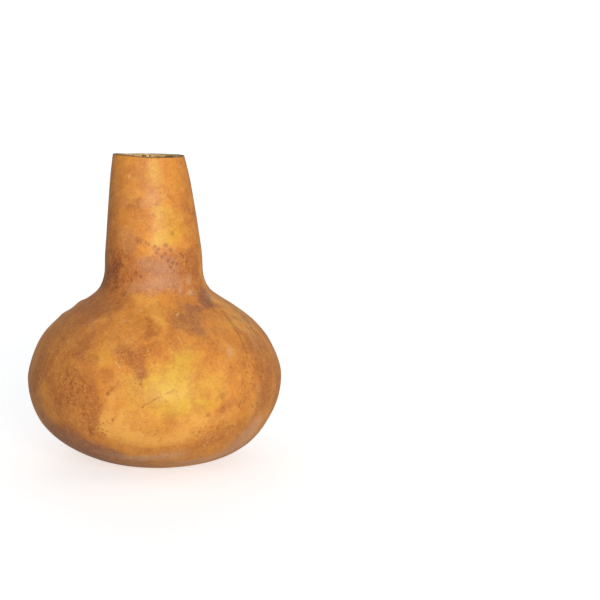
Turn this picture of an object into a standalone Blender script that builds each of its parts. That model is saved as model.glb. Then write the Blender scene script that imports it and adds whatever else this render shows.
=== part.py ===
"""A dried bottle gourd, cleaned out and cut open at the top of its neck, standing on its own flat spot.

The whole gourd is one piece: a hard, hollow shell with an open mouth. Its outside is a turned outline
that is then made uneven, as a fruit grows: the neck leans, the belly is a little lopsided, the spot that
it stands on is off to one side, and the saw cut at the mouth isn't quite level.

Metres, +Z up, front towards -Y. The origin is on the table under the middle of the belly.
"""

import math

import bpy
import numpy as np
from mathutils import Vector

# Driving dimensions of the outside
HEIGHT = 0.2407
BELLY_RADIUS = 0.100
BELLY_HEIGHT = 0.066
REST_RADIUS = 0.024
MOUTH_RADIUS = 0.0274

# How square the underside is: 2 makes it a quarter of an ellipse, and more makes it fuller
UNDERSIDE_FULLNESS = 2.05

# The shoulder and the neck, as radius and height, from just above the belly to just below the mouth
SHOULDER_AND_NECK = (
    (0.0965, 0.082),
    (0.0886, 0.098),
    (0.0757, 0.112),
    (0.0587, 0.124),
    (0.0459, 0.133),
    (0.0409, 0.140),
    (0.0386, 0.148),
    (0.0380, 0.160),
    (0.0360, 0.180),
    (0.0330, 0.205),
    (0.0298, 0.228),
)

# The shell's thickness, which grows towards the mouth and the underside
WALL_THINNEST = 0.0048
WALL_AT_MOUTH = 0.0062
WALL_AT_REST = 0.0060
WALL_GROWS_FROM_HEIGHT = 0.150
WALL_GROWS_BELOW_HEIGHT = 0.040

# How the middle of the gourd moves sideways: at the resting spot, at the shoulder and along the neck
REST_SHIFT = 0.0042
REST_SHIFT_TOP = 0.036
SHOULDER_SHIFT = -0.0012
SHOULDER_SHIFT_HEIGHT = 0.110
SHOULDER_SHIFT_SPREAD = 0.028
NECK_FOOT_HEIGHT = 0.130
NECK_LEAN_X = -0.0030
NECK_LEAN_Y = 0.0018

# The lobes, as shares of the radius, and the heights between which each kind comes and goes
TWO_LOBES = 0.010
THREE_LOBES = 0.006
BELLY_LOBES_COME = (0.004, 0.040)
BELLY_LOBES_GO = (0.110, 0.150)
MOUTH_OVAL = 0.018
MOUTH_OVAL_BEARING = 0.6
MOUTH_OVAL_COMES = (0.140, HEIGHT)

# The saw cut at the mouth: how far it tilts and waves up and down, and how far below it the neck follows
CUT_TILT = 0.00105
CUT_TILT_BEARING = math.radians(-153)
CUT_WAVE = 0.0004
CUT_WAVE_BEARING = 0.9
CUT_RIPPLES = 5
CUT_RIPPLE_SHARE = 0.3
CUT_WAVE_DEPTH = 0.020

# A shallow flat on the back of the belly, where the fruit lay on the ground as it grew
GROUND_FLAT_BEARING = math.radians(62)
GROUND_FLAT_HEIGHT = 0.060
GROUND_FLAT_DEPTH = 0.0022
GROUND_FLAT_SPREAD = 0.038

# How finely the outside is divided: a bend of one radian counts as this much extra length between rings
SIDES = 56
RINGS = 39
REST_RINGS = 2
LENGTH_PER_BEND = 0.03
OUTLINE_SAMPLES = 1200
MERGE_DISTANCE = 0.00005

SHELL_COLOUR = (0.72, 0.36, 0.09, 1.0)
SHELL_ROUGHNESS = 0.42


def clear_scene():
    """Removes the objects that Blender starts with."""
    for thing in list(bpy.data.objects):
        bpy.data.objects.remove(thing, do_unlink=True)


def smooth_step(value, low, high):
    """0 below low, 1 above high, and a smooth rise between them."""
    share = min(1.0, max(0.0, (value - low) / (high - low)))
    return share * share * (3 - 2 * share)


def radii_above_belly(heights):
    """The outside's radius at each height above the belly: a cubic spline through the stations.

    It leaves the belly upright and ends at the mouth with no bend.
    """
    stations = ((BELLY_RADIUS, BELLY_HEIGHT), *SHOULDER_AND_NECK, (MOUTH_RADIUS, HEIGHT))
    radii, levels = np.array(stations).T
    gaps = np.diff(levels)
    slopes = np.diff(radii) / gaps
    count = len(levels)
    system = np.zeros((count, count))
    right = np.zeros(count)
    system[0, :2] = 2 * gaps[0], gaps[0]
    right[0] = 6 * slopes[0]
    system[-1, -1] = 1
    for i in range(1, count - 1):
        system[i, i - 1 : i + 2] = gaps[i - 1], 2 * (gaps[i - 1] + gaps[i]), gaps[i]
        right[i] = 6 * (slopes[i] - slopes[i - 1])
    bends = np.linalg.solve(system, right)
    at = np.clip(np.searchsorted(levels, heights, side="right") - 1, 0, count - 2)
    along = heights - levels[at]
    rise = slopes[at] - gaps[at] * (2 * bends[at] + bends[at + 1]) / 6
    turn = (bends[at + 1] - bends[at]) / (6 * gaps[at])
    return radii[at] + along * (rise + along * (bends[at] / 2 + along * turn))


def underside():
    """Radius and height from the edge of the resting spot out and up to the belly's widest ring."""
    turn = np.linspace(0, math.pi / 2, OUTLINE_SAMPLES)
    power = 2 / UNDERSIDE_FULLNESS
    radii = REST_RADIUS + (BELLY_RADIUS - REST_RADIUS) * np.sin(turn) ** power
    heights = BELLY_HEIGHT * (1 - np.cos(turn) ** power)
    return radii, heights


def outline():
    """The outside as points from the mouth down to the middle of the resting spot, closer where it bends."""
    low_radii, low_heights = underside()
    high_heights = np.linspace(BELLY_HEIGHT, HEIGHT, OUTLINE_SAMPLES)
    radii = np.concatenate([low_radii[:-1], radii_above_belly(high_heights)])
    heights = np.concatenate([low_heights[:-1], high_heights])
    bearings = np.unwrap(np.arctan2(np.diff(heights), np.diff(radii)))
    bends = np.concatenate([[0], np.abs(np.diff(bearings))])
    strides = np.hypot(np.diff(radii), np.diff(heights)) + LENGTH_PER_BEND * bends
    travelled = np.concatenate([[0], np.cumsum(strides)])
    even = np.linspace(0, travelled[-1], RINGS)
    side = np.column_stack([np.interp(even, travelled, radii), np.interp(even, travelled, heights)])
    spot = [(REST_RADIUS * ring / REST_RINGS, 0.0) for ring in range(REST_RINGS)]
    return [*side[::-1].tolist(), *spot[::-1]]


def turned_skin():
    """The outside before it is made uneven: the outline turned once round Z, as an open surface."""
    profile = bpy.data.meshes.new("gourd_outline")
    points = [(radius, 0.0, height) for radius, height in outline()]
    profile.from_pydata(points, [(i, i + 1) for i in range(len(points) - 1)], [])
    turned = bpy.data.objects.new("gourd_outline", profile)
    bpy.context.scene.collection.objects.link(turned)
    screw = turned.modifiers.new("turn", "SCREW")
    screw.steps = SIDES
    screw.render_steps = SIDES
    screw.use_merge_vertices = True
    screw.merge_threshold = MERGE_DISTANCE
    screw.use_smooth_shade = True
    graph = bpy.context.evaluated_depsgraph_get()
    skin = bpy.data.meshes.new_from_object(turned.evaluated_get(graph))
    bpy.data.objects.remove(turned, do_unlink=True)
    return skin


def middle_at(height):
    """Where the middle of the gourd is at this height, as X and Y."""
    up = max(0.0, (height - NECK_FOOT_HEIGHT) / (HEIGHT - NECK_FOOT_HEIGHT))
    from_shoulder = (height - SHOULDER_SHIFT_HEIGHT) / SHOULDER_SHIFT_SPREAD
    x = NECK_LEAN_X * up**2 + SHOULDER_SHIFT * math.exp(-(from_shoulder**2))
    x += REST_SHIFT * (1 - smooth_step(height, 0.0, REST_SHIFT_TOP))
    return x, NECK_LEAN_Y * up**2


def lobes(bearing, height):
    """The share by which the radius differs from the turned outline's at this bearing and height."""
    belly = smooth_step(height, *BELLY_LOBES_COME) * (1 - smooth_step(height, *BELLY_LOBES_GO))
    two = TWO_LOBES * math.sin(2 * bearing)
    three = THREE_LOBES * math.sin(3 * bearing)
    oval = MOUTH_OVAL * math.sin(2 * bearing + MOUTH_OVAL_BEARING)
    return belly * (two + three) + smooth_step(height, *MOUTH_OVAL_COMES) * oval


def ground_flat(point):
    """How far the ground pressed the belly in at this point."""
    middle = Vector(
        (
            BELLY_RADIUS * math.cos(GROUND_FLAT_BEARING),
            BELLY_RADIUS * math.sin(GROUND_FLAT_BEARING),
            GROUND_FLAT_HEIGHT,
        )
    )
    away = (point - middle).length / GROUND_FLAT_SPREAD
    return GROUND_FLAT_DEPTH * math.exp(-(away**2))


def grown(point):
    """A point of the turned skin, moved to where it is on the uneven gourd."""
    radius = math.hypot(point.x, point.y)
    bearing = math.atan2(point.y, point.x)
    x, y = middle_at(point.z)
    if radius > REST_RADIUS:
        radius = radius * (1 + lobes(bearing, point.z)) - ground_flat(point)
    wave = math.sin(2 * bearing + CUT_WAVE_BEARING) + CUT_RIPPLE_SHARE * math.sin(CUT_RIPPLES * bearing)
    cut = CUT_TILT * math.cos(bearing - CUT_TILT_BEARING) + CUT_WAVE * wave
    lift = cut * smooth_step(point.z, HEIGHT - CUT_WAVE_DEPTH, HEIGHT)
    return Vector((x + radius * math.cos(bearing), y + radius * math.sin(bearing), point.z + lift))


def wall_at(height):
    """The shell's thickness at this height."""
    mouth = smooth_step(height, WALL_GROWS_FROM_HEIGHT, HEIGHT)
    rest = 1 - smooth_step(height, 0.0, WALL_GROWS_BELOW_HEIGHT)
    return WALL_THINNEST + (WALL_AT_MOUTH - WALL_THINNEST) * mouth + (WALL_AT_REST - WALL_THINNEST) * rest


def shell_material():
    """The waxy, tan skin of a cured gourd."""
    made = bpy.data.materials.new("gourd_shell")
    made.use_nodes = True
    finish = made.node_tree.nodes["Principled BSDF"]
    finish.inputs["Base Color"].default_value = SHELL_COLOUR
    finish.inputs["Roughness"].default_value = SHELL_ROUGHNESS
    finish.inputs["Metallic"].default_value = 0.0
    made.diffuse_color = SHELL_COLOUR
    return made


def gourd_shell(collection):
    """The gourd: the uneven skin, thickened inwards to the shell's wall."""
    skin = turned_skin()
    for vertex in skin.vertices:
        vertex.co = grown(vertex.co)
    skin.name = "gourd_shell"
    skin.materials.clear()
    skin.materials.append(shell_material())
    shell = bpy.data.objects.new("gourd_shell", skin)
    collection.objects.link(shell)
    thickness = shell.vertex_groups.new(name="wall")
    for vertex in skin.vertices:
        thickness.add([vertex.index], wall_at(vertex.co.z) / WALL_AT_MOUTH, "REPLACE")
    wall = shell.modifiers.new("wall", "SOLIDIFY")
    wall.thickness = WALL_AT_MOUTH
    wall.offset = -1.0
    wall.vertex_group = thickness.name
    wall.use_even_offset = True
    wall.use_rim = True
    return shell


def main():
    """Builds the gourd in a collection of its own."""
    clear_scene()
    collection = bpy.data.collections.new("dried_bottle_gourd")
    bpy.context.scene.collection.children.link(collection)
    gourd_shell(collection)


main()
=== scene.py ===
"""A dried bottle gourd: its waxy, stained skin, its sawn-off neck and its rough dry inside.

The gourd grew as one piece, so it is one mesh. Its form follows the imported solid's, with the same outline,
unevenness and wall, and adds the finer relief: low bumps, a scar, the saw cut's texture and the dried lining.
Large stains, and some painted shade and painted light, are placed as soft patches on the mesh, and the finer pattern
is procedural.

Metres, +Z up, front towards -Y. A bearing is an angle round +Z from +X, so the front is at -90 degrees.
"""

import logging
import math
from dataclasses import dataclass, field
from enum import Enum
from typing import Mapping, Optional, Sequence, Union

import bpy
import numpy as np
from mathutils import Euler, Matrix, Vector, noise


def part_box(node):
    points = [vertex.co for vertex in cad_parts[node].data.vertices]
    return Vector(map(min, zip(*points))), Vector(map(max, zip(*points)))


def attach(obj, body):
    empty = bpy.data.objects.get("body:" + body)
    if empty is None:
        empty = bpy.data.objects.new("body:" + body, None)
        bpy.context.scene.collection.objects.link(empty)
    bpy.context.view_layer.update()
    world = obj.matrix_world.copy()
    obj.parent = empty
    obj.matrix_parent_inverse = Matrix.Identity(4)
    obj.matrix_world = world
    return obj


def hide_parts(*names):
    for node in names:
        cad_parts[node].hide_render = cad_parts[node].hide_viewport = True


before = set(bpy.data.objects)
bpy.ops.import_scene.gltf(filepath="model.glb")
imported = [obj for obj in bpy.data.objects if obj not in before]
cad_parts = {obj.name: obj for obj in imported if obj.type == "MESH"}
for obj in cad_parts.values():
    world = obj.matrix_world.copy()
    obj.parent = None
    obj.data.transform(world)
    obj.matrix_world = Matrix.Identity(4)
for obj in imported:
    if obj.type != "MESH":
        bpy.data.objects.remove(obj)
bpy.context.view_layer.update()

LOG = logging.getLogger("gourd")
BODY = "root"
NODE = "gourd_shell"

Array = np.ndarray
Colour = tuple[float, float, float]
Socket = bpy.types.NodeSocket

MM_PER_METRE = 1000
PERCENT_PER_WHOLE = 100
TINY = 1e-12
NUDGE = 0.001
WHITE: Colour = (1.0, 1.0, 1.0)


def srgb(red: int, green: int, blue: int) -> Colour:
    """The linear colour of a screen colour given as three whole numbers from 0 to 255."""
    shares = (red / 255, green / 255, blue / 255)
    return tuple(s / 12.92 if s <= 0.04045 else ((s + 0.055) / 1.055) ** 2.4 for s in shares)


def smooth_step(value: Array, low: float, high: float) -> Array:
    """0 below low, 1 above high, and a smooth rise between them."""
    share = np.clip((np.asarray(value, float) - low) / (high - low), 0.0, 1.0)
    return share * share * (3 - 2 * share)


class Zone(Enum):
    """The shell's three surfaces, in the order of the mesh's material slots."""

    SKIN = 0
    CUT = 1
    LINING = 2


class Seed(Enum):
    """Which of the noise's many patterns each kind of relief, or of wandering, takes."""

    SWELL = 3.0
    DIMPLES = 7.0
    LUMPS = 11.0
    FIBRES = 23.0
    SAW = 31.0
    EDGES_X = 41.0
    EDGES_Y = 43.0
    EDGES_Z = 47.0


class Stain(Enum):
    """The kinds of soft patch, by the name of the mesh attribute that holds each."""

    BROWN_AND_EDGE_SHADE = "brown_stain"
    RED = "red_stain"
    PLUM_AND_UNDERSIDE_SHADE = "plum_stain"
    GOLD_AND_HIGHLIGHT = "golden_skin"
    PALE_AND_LIT = "pale_skin"
    DUSTY_AND_FLOOR_LIGHT = "dusty_skin"
    STREAKED = "streaked_skin"
    FRECKLED = "freckled_skin"


class Mark(Enum):
    """The kinds of small mark, by the start of the names of the mesh attributes that hold each."""

    RING = "ring"
    PIT = "pit"
    FLECK = "fleck"
    VEIN = "vein"
    SCRATCH = "scratch"
    SCAR = "scar"


@dataclass(frozen=True)
class Patch:
    """A soft-edged patch on the skin.

    Attributes:
        bearing: degrees round the gourd, of its middle.
        height: metres above the table, of its middle.
        wide: half its width across, in metres.
        tall: half its height along the skin, in metres.
        turn: degrees anticlockwise, seen from outside.
        depth: how strong it is in its middle.
    """

    bearing: float
    height: float
    wide: float
    tall: float
    turn: float = 0.0
    depth: float = 1.0


@dataclass(frozen=True)
class Line:
    """A small mark between two ends, or round where it has one.

    Attributes:
        reach: half its width, in metres.
        start: the bearing and height of one end.
        end: the bearing and height of the other, or nothing for a round mark.
    """

    reach: float
    start: tuple[float, float]
    end: Optional[tuple[float, float]] = None


def patches(*rows: tuple[float, ...]) -> tuple[Patch, ...]:
    """Makes patches from short rows.

    Args:
        rows: bearing and height of the middle, half width, half height, depth, and the turn where there is one.
            Lengths are in millimetres here, angles in degrees and the depth in hundredths.

    Returns:
        The patches.
    """
    made = []
    for bearing, height, wide, tall, depth, *turn in rows:
        lengths = (length / MM_PER_METRE for length in (height, wide, tall))
        made.append(Patch(bearing, *lengths, turn[0] if turn else 0.0, depth / PERCENT_PER_WHOLE))
    return tuple(made)


def lines(*rows: tuple[float, ...]) -> tuple[Line, ...]:
    """Makes small marks from short rows.

    Args:
        rows: half the width in hundredths of a millimetre, the bearing in degrees and the height in millimetres
            of one end, and the same two of the other end where the mark isn't round.

    Returns:
        The marks.
    """
    made = []
    for reach, bearing, height, *other in rows:
        end = (other[0], other[1] / MM_PER_METRE) if other else None
        made.append(Line(reach / PERCENT_PER_WHOLE / MM_PER_METRE, (bearing, height / MM_PER_METRE), end))
    return tuple(made)


STAINS = {
    # Brown stains; the patches near the left and right sides are made deeper to stand for painted shade where the
    # sides turn away from the light
    Stain.BROWN_AND_EDGE_SHADE: patches(
        (-33, 130, 6, 12, 60), (-94, 140, 17, 7, 30), (-28, 157, 8, 11, 40), (-121, 172, 6, 8, 30),
        (-73, 159, 29, 11, 30), (-109, 140, 16, 9, 40), (-37, 158, 10, 12, 40), (-100, 101, 13, 15, 55),
        (-132, 70, 29, 30, 40), (-154, 79, 14, 23, 70), (-156, 113, 26, 19, 35, 35), (-29, 75, 13, 23, 60),
        (-29, 94, 13, 16, 60), (-32, 58, 12, 16, 65), (-116, 200, 10, 17, 30), (-32, 229, 9, 18, 35),
        (-127, 100, 14, 21, 30), (-84, 111, 9, 7, 25), (-154, 125, 15, 14, 40, 25), (-63, 104, 16, 6, 25),
        (-47, 99, 10, 11, 25), (-85, 150, 35, 18, 70), (-44, 150, 16, 20, 35), (-126, 133, 19, 20, 35),
        (-152, 188, 10, 15, 30), (-155, 157, 10, 19, 60), (-35, 143, 13, 14, 60), (-59, 133, 13, 9, 35),
        (-112, 145, 14, 8, 45), (-155, 140, 14, 12, 80), (-35, 160, 10, 12, 55), (-94, 159, 12, 5, 35),
        (-128, 129, 12, 15, 50), (-138, 98, 21, 22, 35), (-145, 83, 16, 19, 30), (-129, 110, 14, 10, 30),
        (-69, 146, 11, 5, 25), (-149, 177, 8, 12, 50), (-126, 176, 11, 8, 35), (-141, 164, 11, 9, 70),
        (-120, 165, 8, 8, 50), (-147, 150, 10, 12, 80), (-124, 151, 11, 9, 60), (-103, 170, 7, 4, 35),
        (-92, 164, 7, 4, 35), (-131, 138, 13, 9, 70), (-110, 141, 9, 7, 40), (-111, 180, 4, 4, 50),
        (-102, 187, 4, 2, 35), (-97, 177, 5, 2, 40, 10), (-89, 173, 5, 3, 45, -20), (-70, 162, 6, 6, 50),
        (-57, 153, 10, 5, 50), (-47, 164, 9, 5, 40), (-34, 155, 7, 12, 45), (-71, 153, 3, 4, 60),
        (-116, 208, 7, 2, 50, 10), (-80, 205, 4, 2, 60), (-62, 210, 6, 2, 50, -30), (-37, 203, 4, 4, 60),
        (-25, 200, 6, 2, 60), (-92, 214, 2, 2, 40), (-156, 211, 8, 11, 30), (-139, 127, 14, 16, 60),
        (-144, 121, 14, 13, 45, 20), (-148, 113, 15, 14, 40, 30), (-126, 130, 10, 13, 50), (-147, 101, 10, 14, 30),
        (-116, 135, 7, 4, 60), (-120, 120, 8, 6, 35), (-92, 119, 5, 10, 70), (-91, 114, 4, 4, 60),
        (-98, 121, 4, 4, 40), (-104, 108, 8, 7, 45), (-99, 99, 10, 10, 65), (-97, 89, 7, 7, 85),
        (-104, 103, 6, 10, 45), (-94, 105, 7, 7, 45), (-88, 108, 5, 5, 35), (-97, 80, 2, 4, 50),
        (-112, 86, 10, 5, 30), (-120, 94, 6, 7, 40), (-129, 101, 6, 10, 45), (-122, 81, 8, 10, 55),
        (-131, 83, 13, 10, 60), (-126, 66, 18, 13, 60), (-118, 66, 5, 16, 60), (-135, 67, 12, 12, 50),
        (-143, 76, 9, 7, 50), (-149, 55, 10, 11, 30), (-132, 43, 16, 9, 50, -20), (-121, 50, 10, 9, 60),
        (-116, 59, 4, 11, 60), (-111, 74, 4, 3, 60), (-108, 77, 5, 4, 40), (-115, 42, 7, 3, 50, -20),
        (-120, 41, 7, 3, 50), (-51, 113, 12, 8, 35), (-61, 108, 10, 5, 40), (-73, 105, 10, 4, 25),
        (-54, 86, 10, 10, 45), (-42, 90, 12, 11, 50), (-32, 79, 10, 11, 45), (-43, 71, 12, 8, 35),
        (-50, 61, 13, 7, 35), (-34, 60, 11, 10, 50), (-59, 59, 6, 5, 45), (-39, 46, 15, 11, 45),
        (-51, 41, 18, 10, 45), (-61, 32, 18, 9, 60), (-43, 27, 19, 12, 60, 30), (-70, 23, 16, 8, 40),
        (-27, 118, 4, 13, 60, 40), (-33, 108, 5, 10, 50, 40), (-34, 99, 6, 7, 40), (-94, 26, 18, 7, 30),
        (-26, 61, 6, 14, 30), (-78, 106, 3, 3, 40), (-84, 103, 4, 3, 20), (-20, 76, 14, 28, 50),
        (-12, 62, 14, 26, 55), (-22, 95, 12, 18, 35), (-158, 78, 12, 30, 55), (-166, 152, 14, 24, 80),
        (-170, 180, 9, 14, 40), (-165, 126, 16, 14, 50), (-172, 60, 16, 20, 50), (-8, 118, 20, 12, 60, 20),
        (8, 96, 18, 20, 70), (18, 170, 12, 18, 60), (30, 66, 14, 26, 60, 15), (44, 128, 16, 10, 75),
        (64, 108, 20, 9, 60), (70, 186, 13, 10, 50, 20), (96, 92, 16, 18, 80, -16), (104, 48, 12, 22, 60),
        (120, 146, 13, 16, 65), (134, 70, 20, 18, 70, 20), (150, 104, 14, 10, 55), (168, 60, 16, 20, 50),
        (176, 172, 10, 22, 50),
    ),
    Stain.RED: patches(
        (-145, 156, 9, 10, 90), (-151, 169, 7, 7, 50), (-137, 143, 7, 7, 70), (-136, 160, 4, 2, 60),
        (-122, 152, 5, 5, 35), (-119, 135, 5, 4, 50), (-130, 85, 12, 7, 20), (-143, 74, 6, 3, 50),
        (-135, 77, 4, 2, 50), (-131, 71, 7, 5, 20), (-122, 66, 5, 6, 15), (-68, 55, 3, 2, 50), (-34, 75, 3, 2, 70),
        (-96, 87, 4, 5, 40), (-111, 73, 4, 2, 50), (-52, 40, 13, 9, 20), (-128, 50, 12, 7, 25),
        (-160, 148, 9, 13, 70), (-172, 138, 8, 8, 40), (6, 150, 10, 12, 70), (40, 154, 10, 8, 60),
        (104, 160, 10, 16, 70), (112, 104, 10, 10, 50), (152, 80, 12, 14, 45), (165, 148, 12, 12, 60),
    ),
    # Purplish stains, and the wide low patches round the foot, below about 40 mm, which are painted shade on the
    # underside
    Stain.PLUM_AND_UNDERSIDE_SHADE: patches(
        (-31, 130, 6, 11, 80), (-45, 132, 9, 11, 35), (-34, 131, 7, 13, 75, 20), (-66, 121, 17, 20, 40),
        (-67, 119, 13, 15, 45), (-75, 116, 9, 8, 35), (-63, 113, 7, 8, 35), (-56, 125, 9, 10, 40),
        (-61, 130, 7, 6, 30), (-40, 128, 5, 7, 70), (-27, 133, 5, 6, 80), (-51, 127, 6, 4, 60),
        (-69, 154, 14, 14, 28), (-92, 161, 14, 13, 28), (-78, 141, 12, 7, 25), (-143, 37, 27, 13, 60, -34),
        (-134, 27, 34, 17, 90, -26), (-121, 21, 25, 14, 80, -14), (-102, 15, 21, 9, 50), (-72, 11, 24, 5, 50),
        (-36, 17, 25, 7, 50, 30), (-111, 180, 4, 3, 40), (-100, 102, 4, 10, 20), (-22, 200, 6, 2, 40),
        (-138, 13, 36, 15, 70, -20), (-118, 8, 30, 12, 60, -10), (-153, 26, 16, 18, 55, -35),
        (20, 26, 34, 8, 60, 6), (80, 20, 34, 8, 70), (140, 28, 34, 8, 70, -8), (28, 118, 14, 10, 70, 16),
        (86, 124, 16, 10, 80, -10), (140, 126, 14, 9, 60), (70, 154, 14, 9, 40),
    ),
    # Golden skin; on the front of the belly and up the front of the neck, where the key light falls, these also stand
    # for a painted highlight
    Stain.GOLD_AND_HIGHLIGHT: patches(
        (-81, 75, 34, 28, 50), (-85, 77, 23, 18, 60), (-79, 93, 11, 11, 30), (-89, 74, 11, 8, 80),
        (-75, 64, 20, 10, 45), (-78, 88, 15, 18, 25, -10), (-68, 72, 17, 12, 20), (-97, 68, 15, 10, 30),
        (-101, 57, 10, 7, 20), (-85, 128, 7, 19, 25), (-85, 118, 4, 12, 20), (-80, 231, 8, 12, 50),
        (-81, 219, 6, 6, 35), (-74, 191, 15, 21, 40), (-79, 199, 10, 8, 35), (-84, 180, 7, 7, 50),
        (-63, 180, 12, 9, 30), (-43, 191, 8, 14, 25), (-58, 223, 9, 11, 20), (-121, 168, 4, 3, 30),
        (-114, 97, 10, 10, 30), (-103, 82, 9, 6, 20), (-32, 113, 14, 14, 25, -40), (-73, 97, 12, 11, 12),
        (14, 124, 12, 7, 50), (36, 204, 10, 14, 60), (62, 60, 30, 26, 40), (98, 206, 8, 12, 50),
        (118, 76, 14, 12, 50), (158, 96, 14, 10, 55),
    ),
    # Lighter skin; on the lower front of the belly and at the front of the neck's foot these also stand for painted
    # light: the floor's light from below and a highlight
    Stain.PALE_AND_LIT: patches(
        (-91, 76, 9, 7, 35), (-101, 57, 12, 8, 40), (-61, 89, 12, 9, 40), (-64, 50, 12, 7, 40),
        (-85, 125, 6, 13, 30), (-104, 230, 8, 12, 40), (-11, 119, 17, 12, 70, -30), (-115, 52, 8, 11, 60),
        (-86, 128, 7, 21, 55), (-95, 133, 11, 7, 40), (-102, 126, 9, 7, 40), (-85, 117, 4, 12, 40),
        (-78, 36, 17, 8, 70), (-112, 52, 7, 11, 80), (-69, 57, 13, 9, 40), (-93, 57, 18, 9, 30),
        (-104, 48, 19, 13, 80), (-110, 64, 7, 10, 50), (-93, 37, 21, 11, 60), (-81, 44, 16, 10, 50),
        (-71, 50, 15, 9, 50), (-115, 92, 6, 7, 40), (-63, 76, 11, 10, 30), (-51, 97, 8, 6, 50),
        (-69, 102, 12, 6, 25), (-19, 113, 21, 10, 50, -38), (-21, 128, 13, 3, 60, -25), (-26, 104, 15, 5, 40, -40),
        (-148, 53, 8, 9, 30), (-65, 133, 6, 7, 20), (-76, 57, 17, 8, 35), (-4, 118, 16, 10, 60, -30),
        (50, 78, 20, 14, 60, 20), (76, 50, 22, 12, 60, -10), (0, 48, 22, 14, 60), (110, 38, 24, 10, 60),
        (176, 108, 18, 12, 50), (60, 228, 14, 14, 40), (130, 214, 12, 14, 30),
    ),
    # Dusty scuffs, and the wide low patches on the front below about 35 mm, which are a painted bluish reflection of
    # the floor's light
    Stain.DUSTY_AND_FLOOR_LIGHT: patches(
        (-90, 142, 14, 7, 40), (-109, 138, 9, 6, 35), (-48, 138, 5, 3, 90), (-63, 140, 2, 4, 60),
        (-48, 147, 4, 5, 60), (-52, 98, 6, 4, 70), (-46, 110, 3, 3, 60), (-71, 125, 2, 2, 80),
        (-110, 120, 3, 3, 60), (-86, 151, 17, 15, 40), (-60, 144, 11, 9, 30), (-97, 209, 6, 8, 40),
        (-86, 212, 6, 5, 30), (-48, 82, 3, 5, 30), (-124, 178, 11, 11, 35), (-102, 162, 11, 8, 45),
        (-73, 160, 12, 8, 35), (-21, 131, 11, 5, 50, -30), (-95, 18, 30, 8, 70), (-61, 13, 33, 10, 80, 8),
        (-39, 22, 22, 17, 80, 30), (-32, 33, 16, 15, 60, 40), (-118, 20, 18, 9, 30, -16),
        (-134, 25, 23, 10, 20, -24), (62, 58, 26, 22, 55), (22, 142, 5, 6, 70), (100, 140, 12, 7, 50),
        (134, 90, 6, 5, 70),
    ),
    Stain.STREAKED: patches(
        (-24, 107, 18, 18, 100, -40), (-19, 129, 14, 9, 60, -30), (126, 112, 22, 12, 80),
    ),
    Stain.FRECKLED: patches(
        (-128, 71, 22, 24, 75), (-117, 44, 20, 12, 70), (-101, 80, 16, 12, 50), (-97, 102, 15, 19, 60),
        (-138, 99, 21, 18, 50), (-47, 61, 19, 24, 50), (-65, 40, 21, 11, 50), (-136, 161, 14, 18, 70),
        (-88, 49, 21, 11, 40), (-64, 120, 14, 20, 40), (-58, 159, 14, 8, 40), (-40, 85, 14, 16, 50),
        (-132, 123, 18, 16, 50), (24, 78, 30, 30, 60), (92, 76, 30, 36, 80), (150, 62, 30, 26, 70),
        (60, 36, 30, 14, 60), (110, 150, 16, 20, 60),
    ),
}

MARKS = {
    Mark.RING: lines(
        (210, -108.5, 179.7), (180, -65, 183.5), (160, -75, 175), (160, -69, 171), (150, -76, 168),
        (140, -80, 166), (140, -84, 172), (130, -88, 174), (130, -86, 169), (130, -98.5, 177), (130, -95, 175.5),
        (140, -73, 163), (130, -67, 161), (130, -62, 160), (140, -70, 158), (140, -56, 167), (130, -53, 165),
        (130, -48, 161), (140, -136, 159), (130, -111, 154), (130, -105, 151), (130, -116, 148), (240, -60, 67.5),
        (260, -60, 57), (170, -67, 54.5), (160, 30, 186), (150, 36, 178), (140, 24, 176), (140, 118, 196),
        (130, 123, 190), (280, 100, 62), (240, 14, 66),
    ),
    Mark.PIT: lines(
        (70, -90, 95), (70, -81, 107), (120, -34, 75), (80, -136, 55.4), (80, -120.4, 54.3), (90, -119.2, 43.2),
        (80, -125.4, 41.8), (80, -131.1, 39.5), (90, -127.4, 36.2), (140, -114.9, 41.4), (90, -116.4, 45.3),
        (90, -113.3, 49.9), (130, -108.9, 53), (180, -110.7, 72.7), (120, -96.4, 80.3), (110, -70.2, 41.1),
        (110, -50.7, 56.8), (100, -41.1, 53.8), (100, -27, 236.1), (90, 10, 90), (120, 44, 82), (100, 75, 98),
        (140, 118, 50), (90, 140, 84), (110, 165, 64),
    ),
    Mark.FLECK: lines(
        (80, -71, 125, -73, 123.5), (60, -99, 126.5, -101, 127.5), (90, -97.7, 47.1), (110, -96, 41.2),
        (100, -105.9, 18.7), (90, -66, 28), (80, -59.3, 50.9), (80, -121.5, 227.5, -121.5, 225.5),
        (100, 15, 120, 18, 121), (90, 88, 78), (100, 146, 110),
    ),
    Mark.VEIN: lines(
        (50, -104, 211, -107.8, 208.5), (50, -107.8, 208.5, -108, 202), (60, -66, 212, -76, 209),
        (60, -84, 206, -76, 209), (60, -66, 212, -58, 207), (60, -36, 205, -30, 200), (50, -100, 192, -97, 190),
        (70, -66, 155, -58, 151.5), (70, -58, 151.5, -53, 154.5), (50, -99, 186.5, -93, 187),
        (50, 70, 206, 62, 211), (50, 150, 190, 156, 183),
    ),
    Mark.SCRATCH: lines(
        (60, -76.2, 111.4, -75.1, 106.2), (60, -108, 95, -105.8, 91), (40, -130, 120, -132, 118.5),
        (40, 40, 104, 46, 101), (40, 124, 94, 121, 88),
    ),
    Mark.SCAR: lines(
        (90, -29.5, 122.2, -32.9, 115), (90, -32.9, 115, -36, 107), (80, -36, 107, -38.6, 94.7),
        (80, -10.3, 115, -17.9, 106), (80, -17.9, 106, -24, 94.6), (100, -33.8, 131.2, -37.1, 122.6),
        (50, -95.9, 63.6, -91.6, 68), (50, -91.6, 68, -81.7, 76.1), (60, 84, 120, 92, 112),
    ),
}

Number = Union["Value", float]


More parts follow.
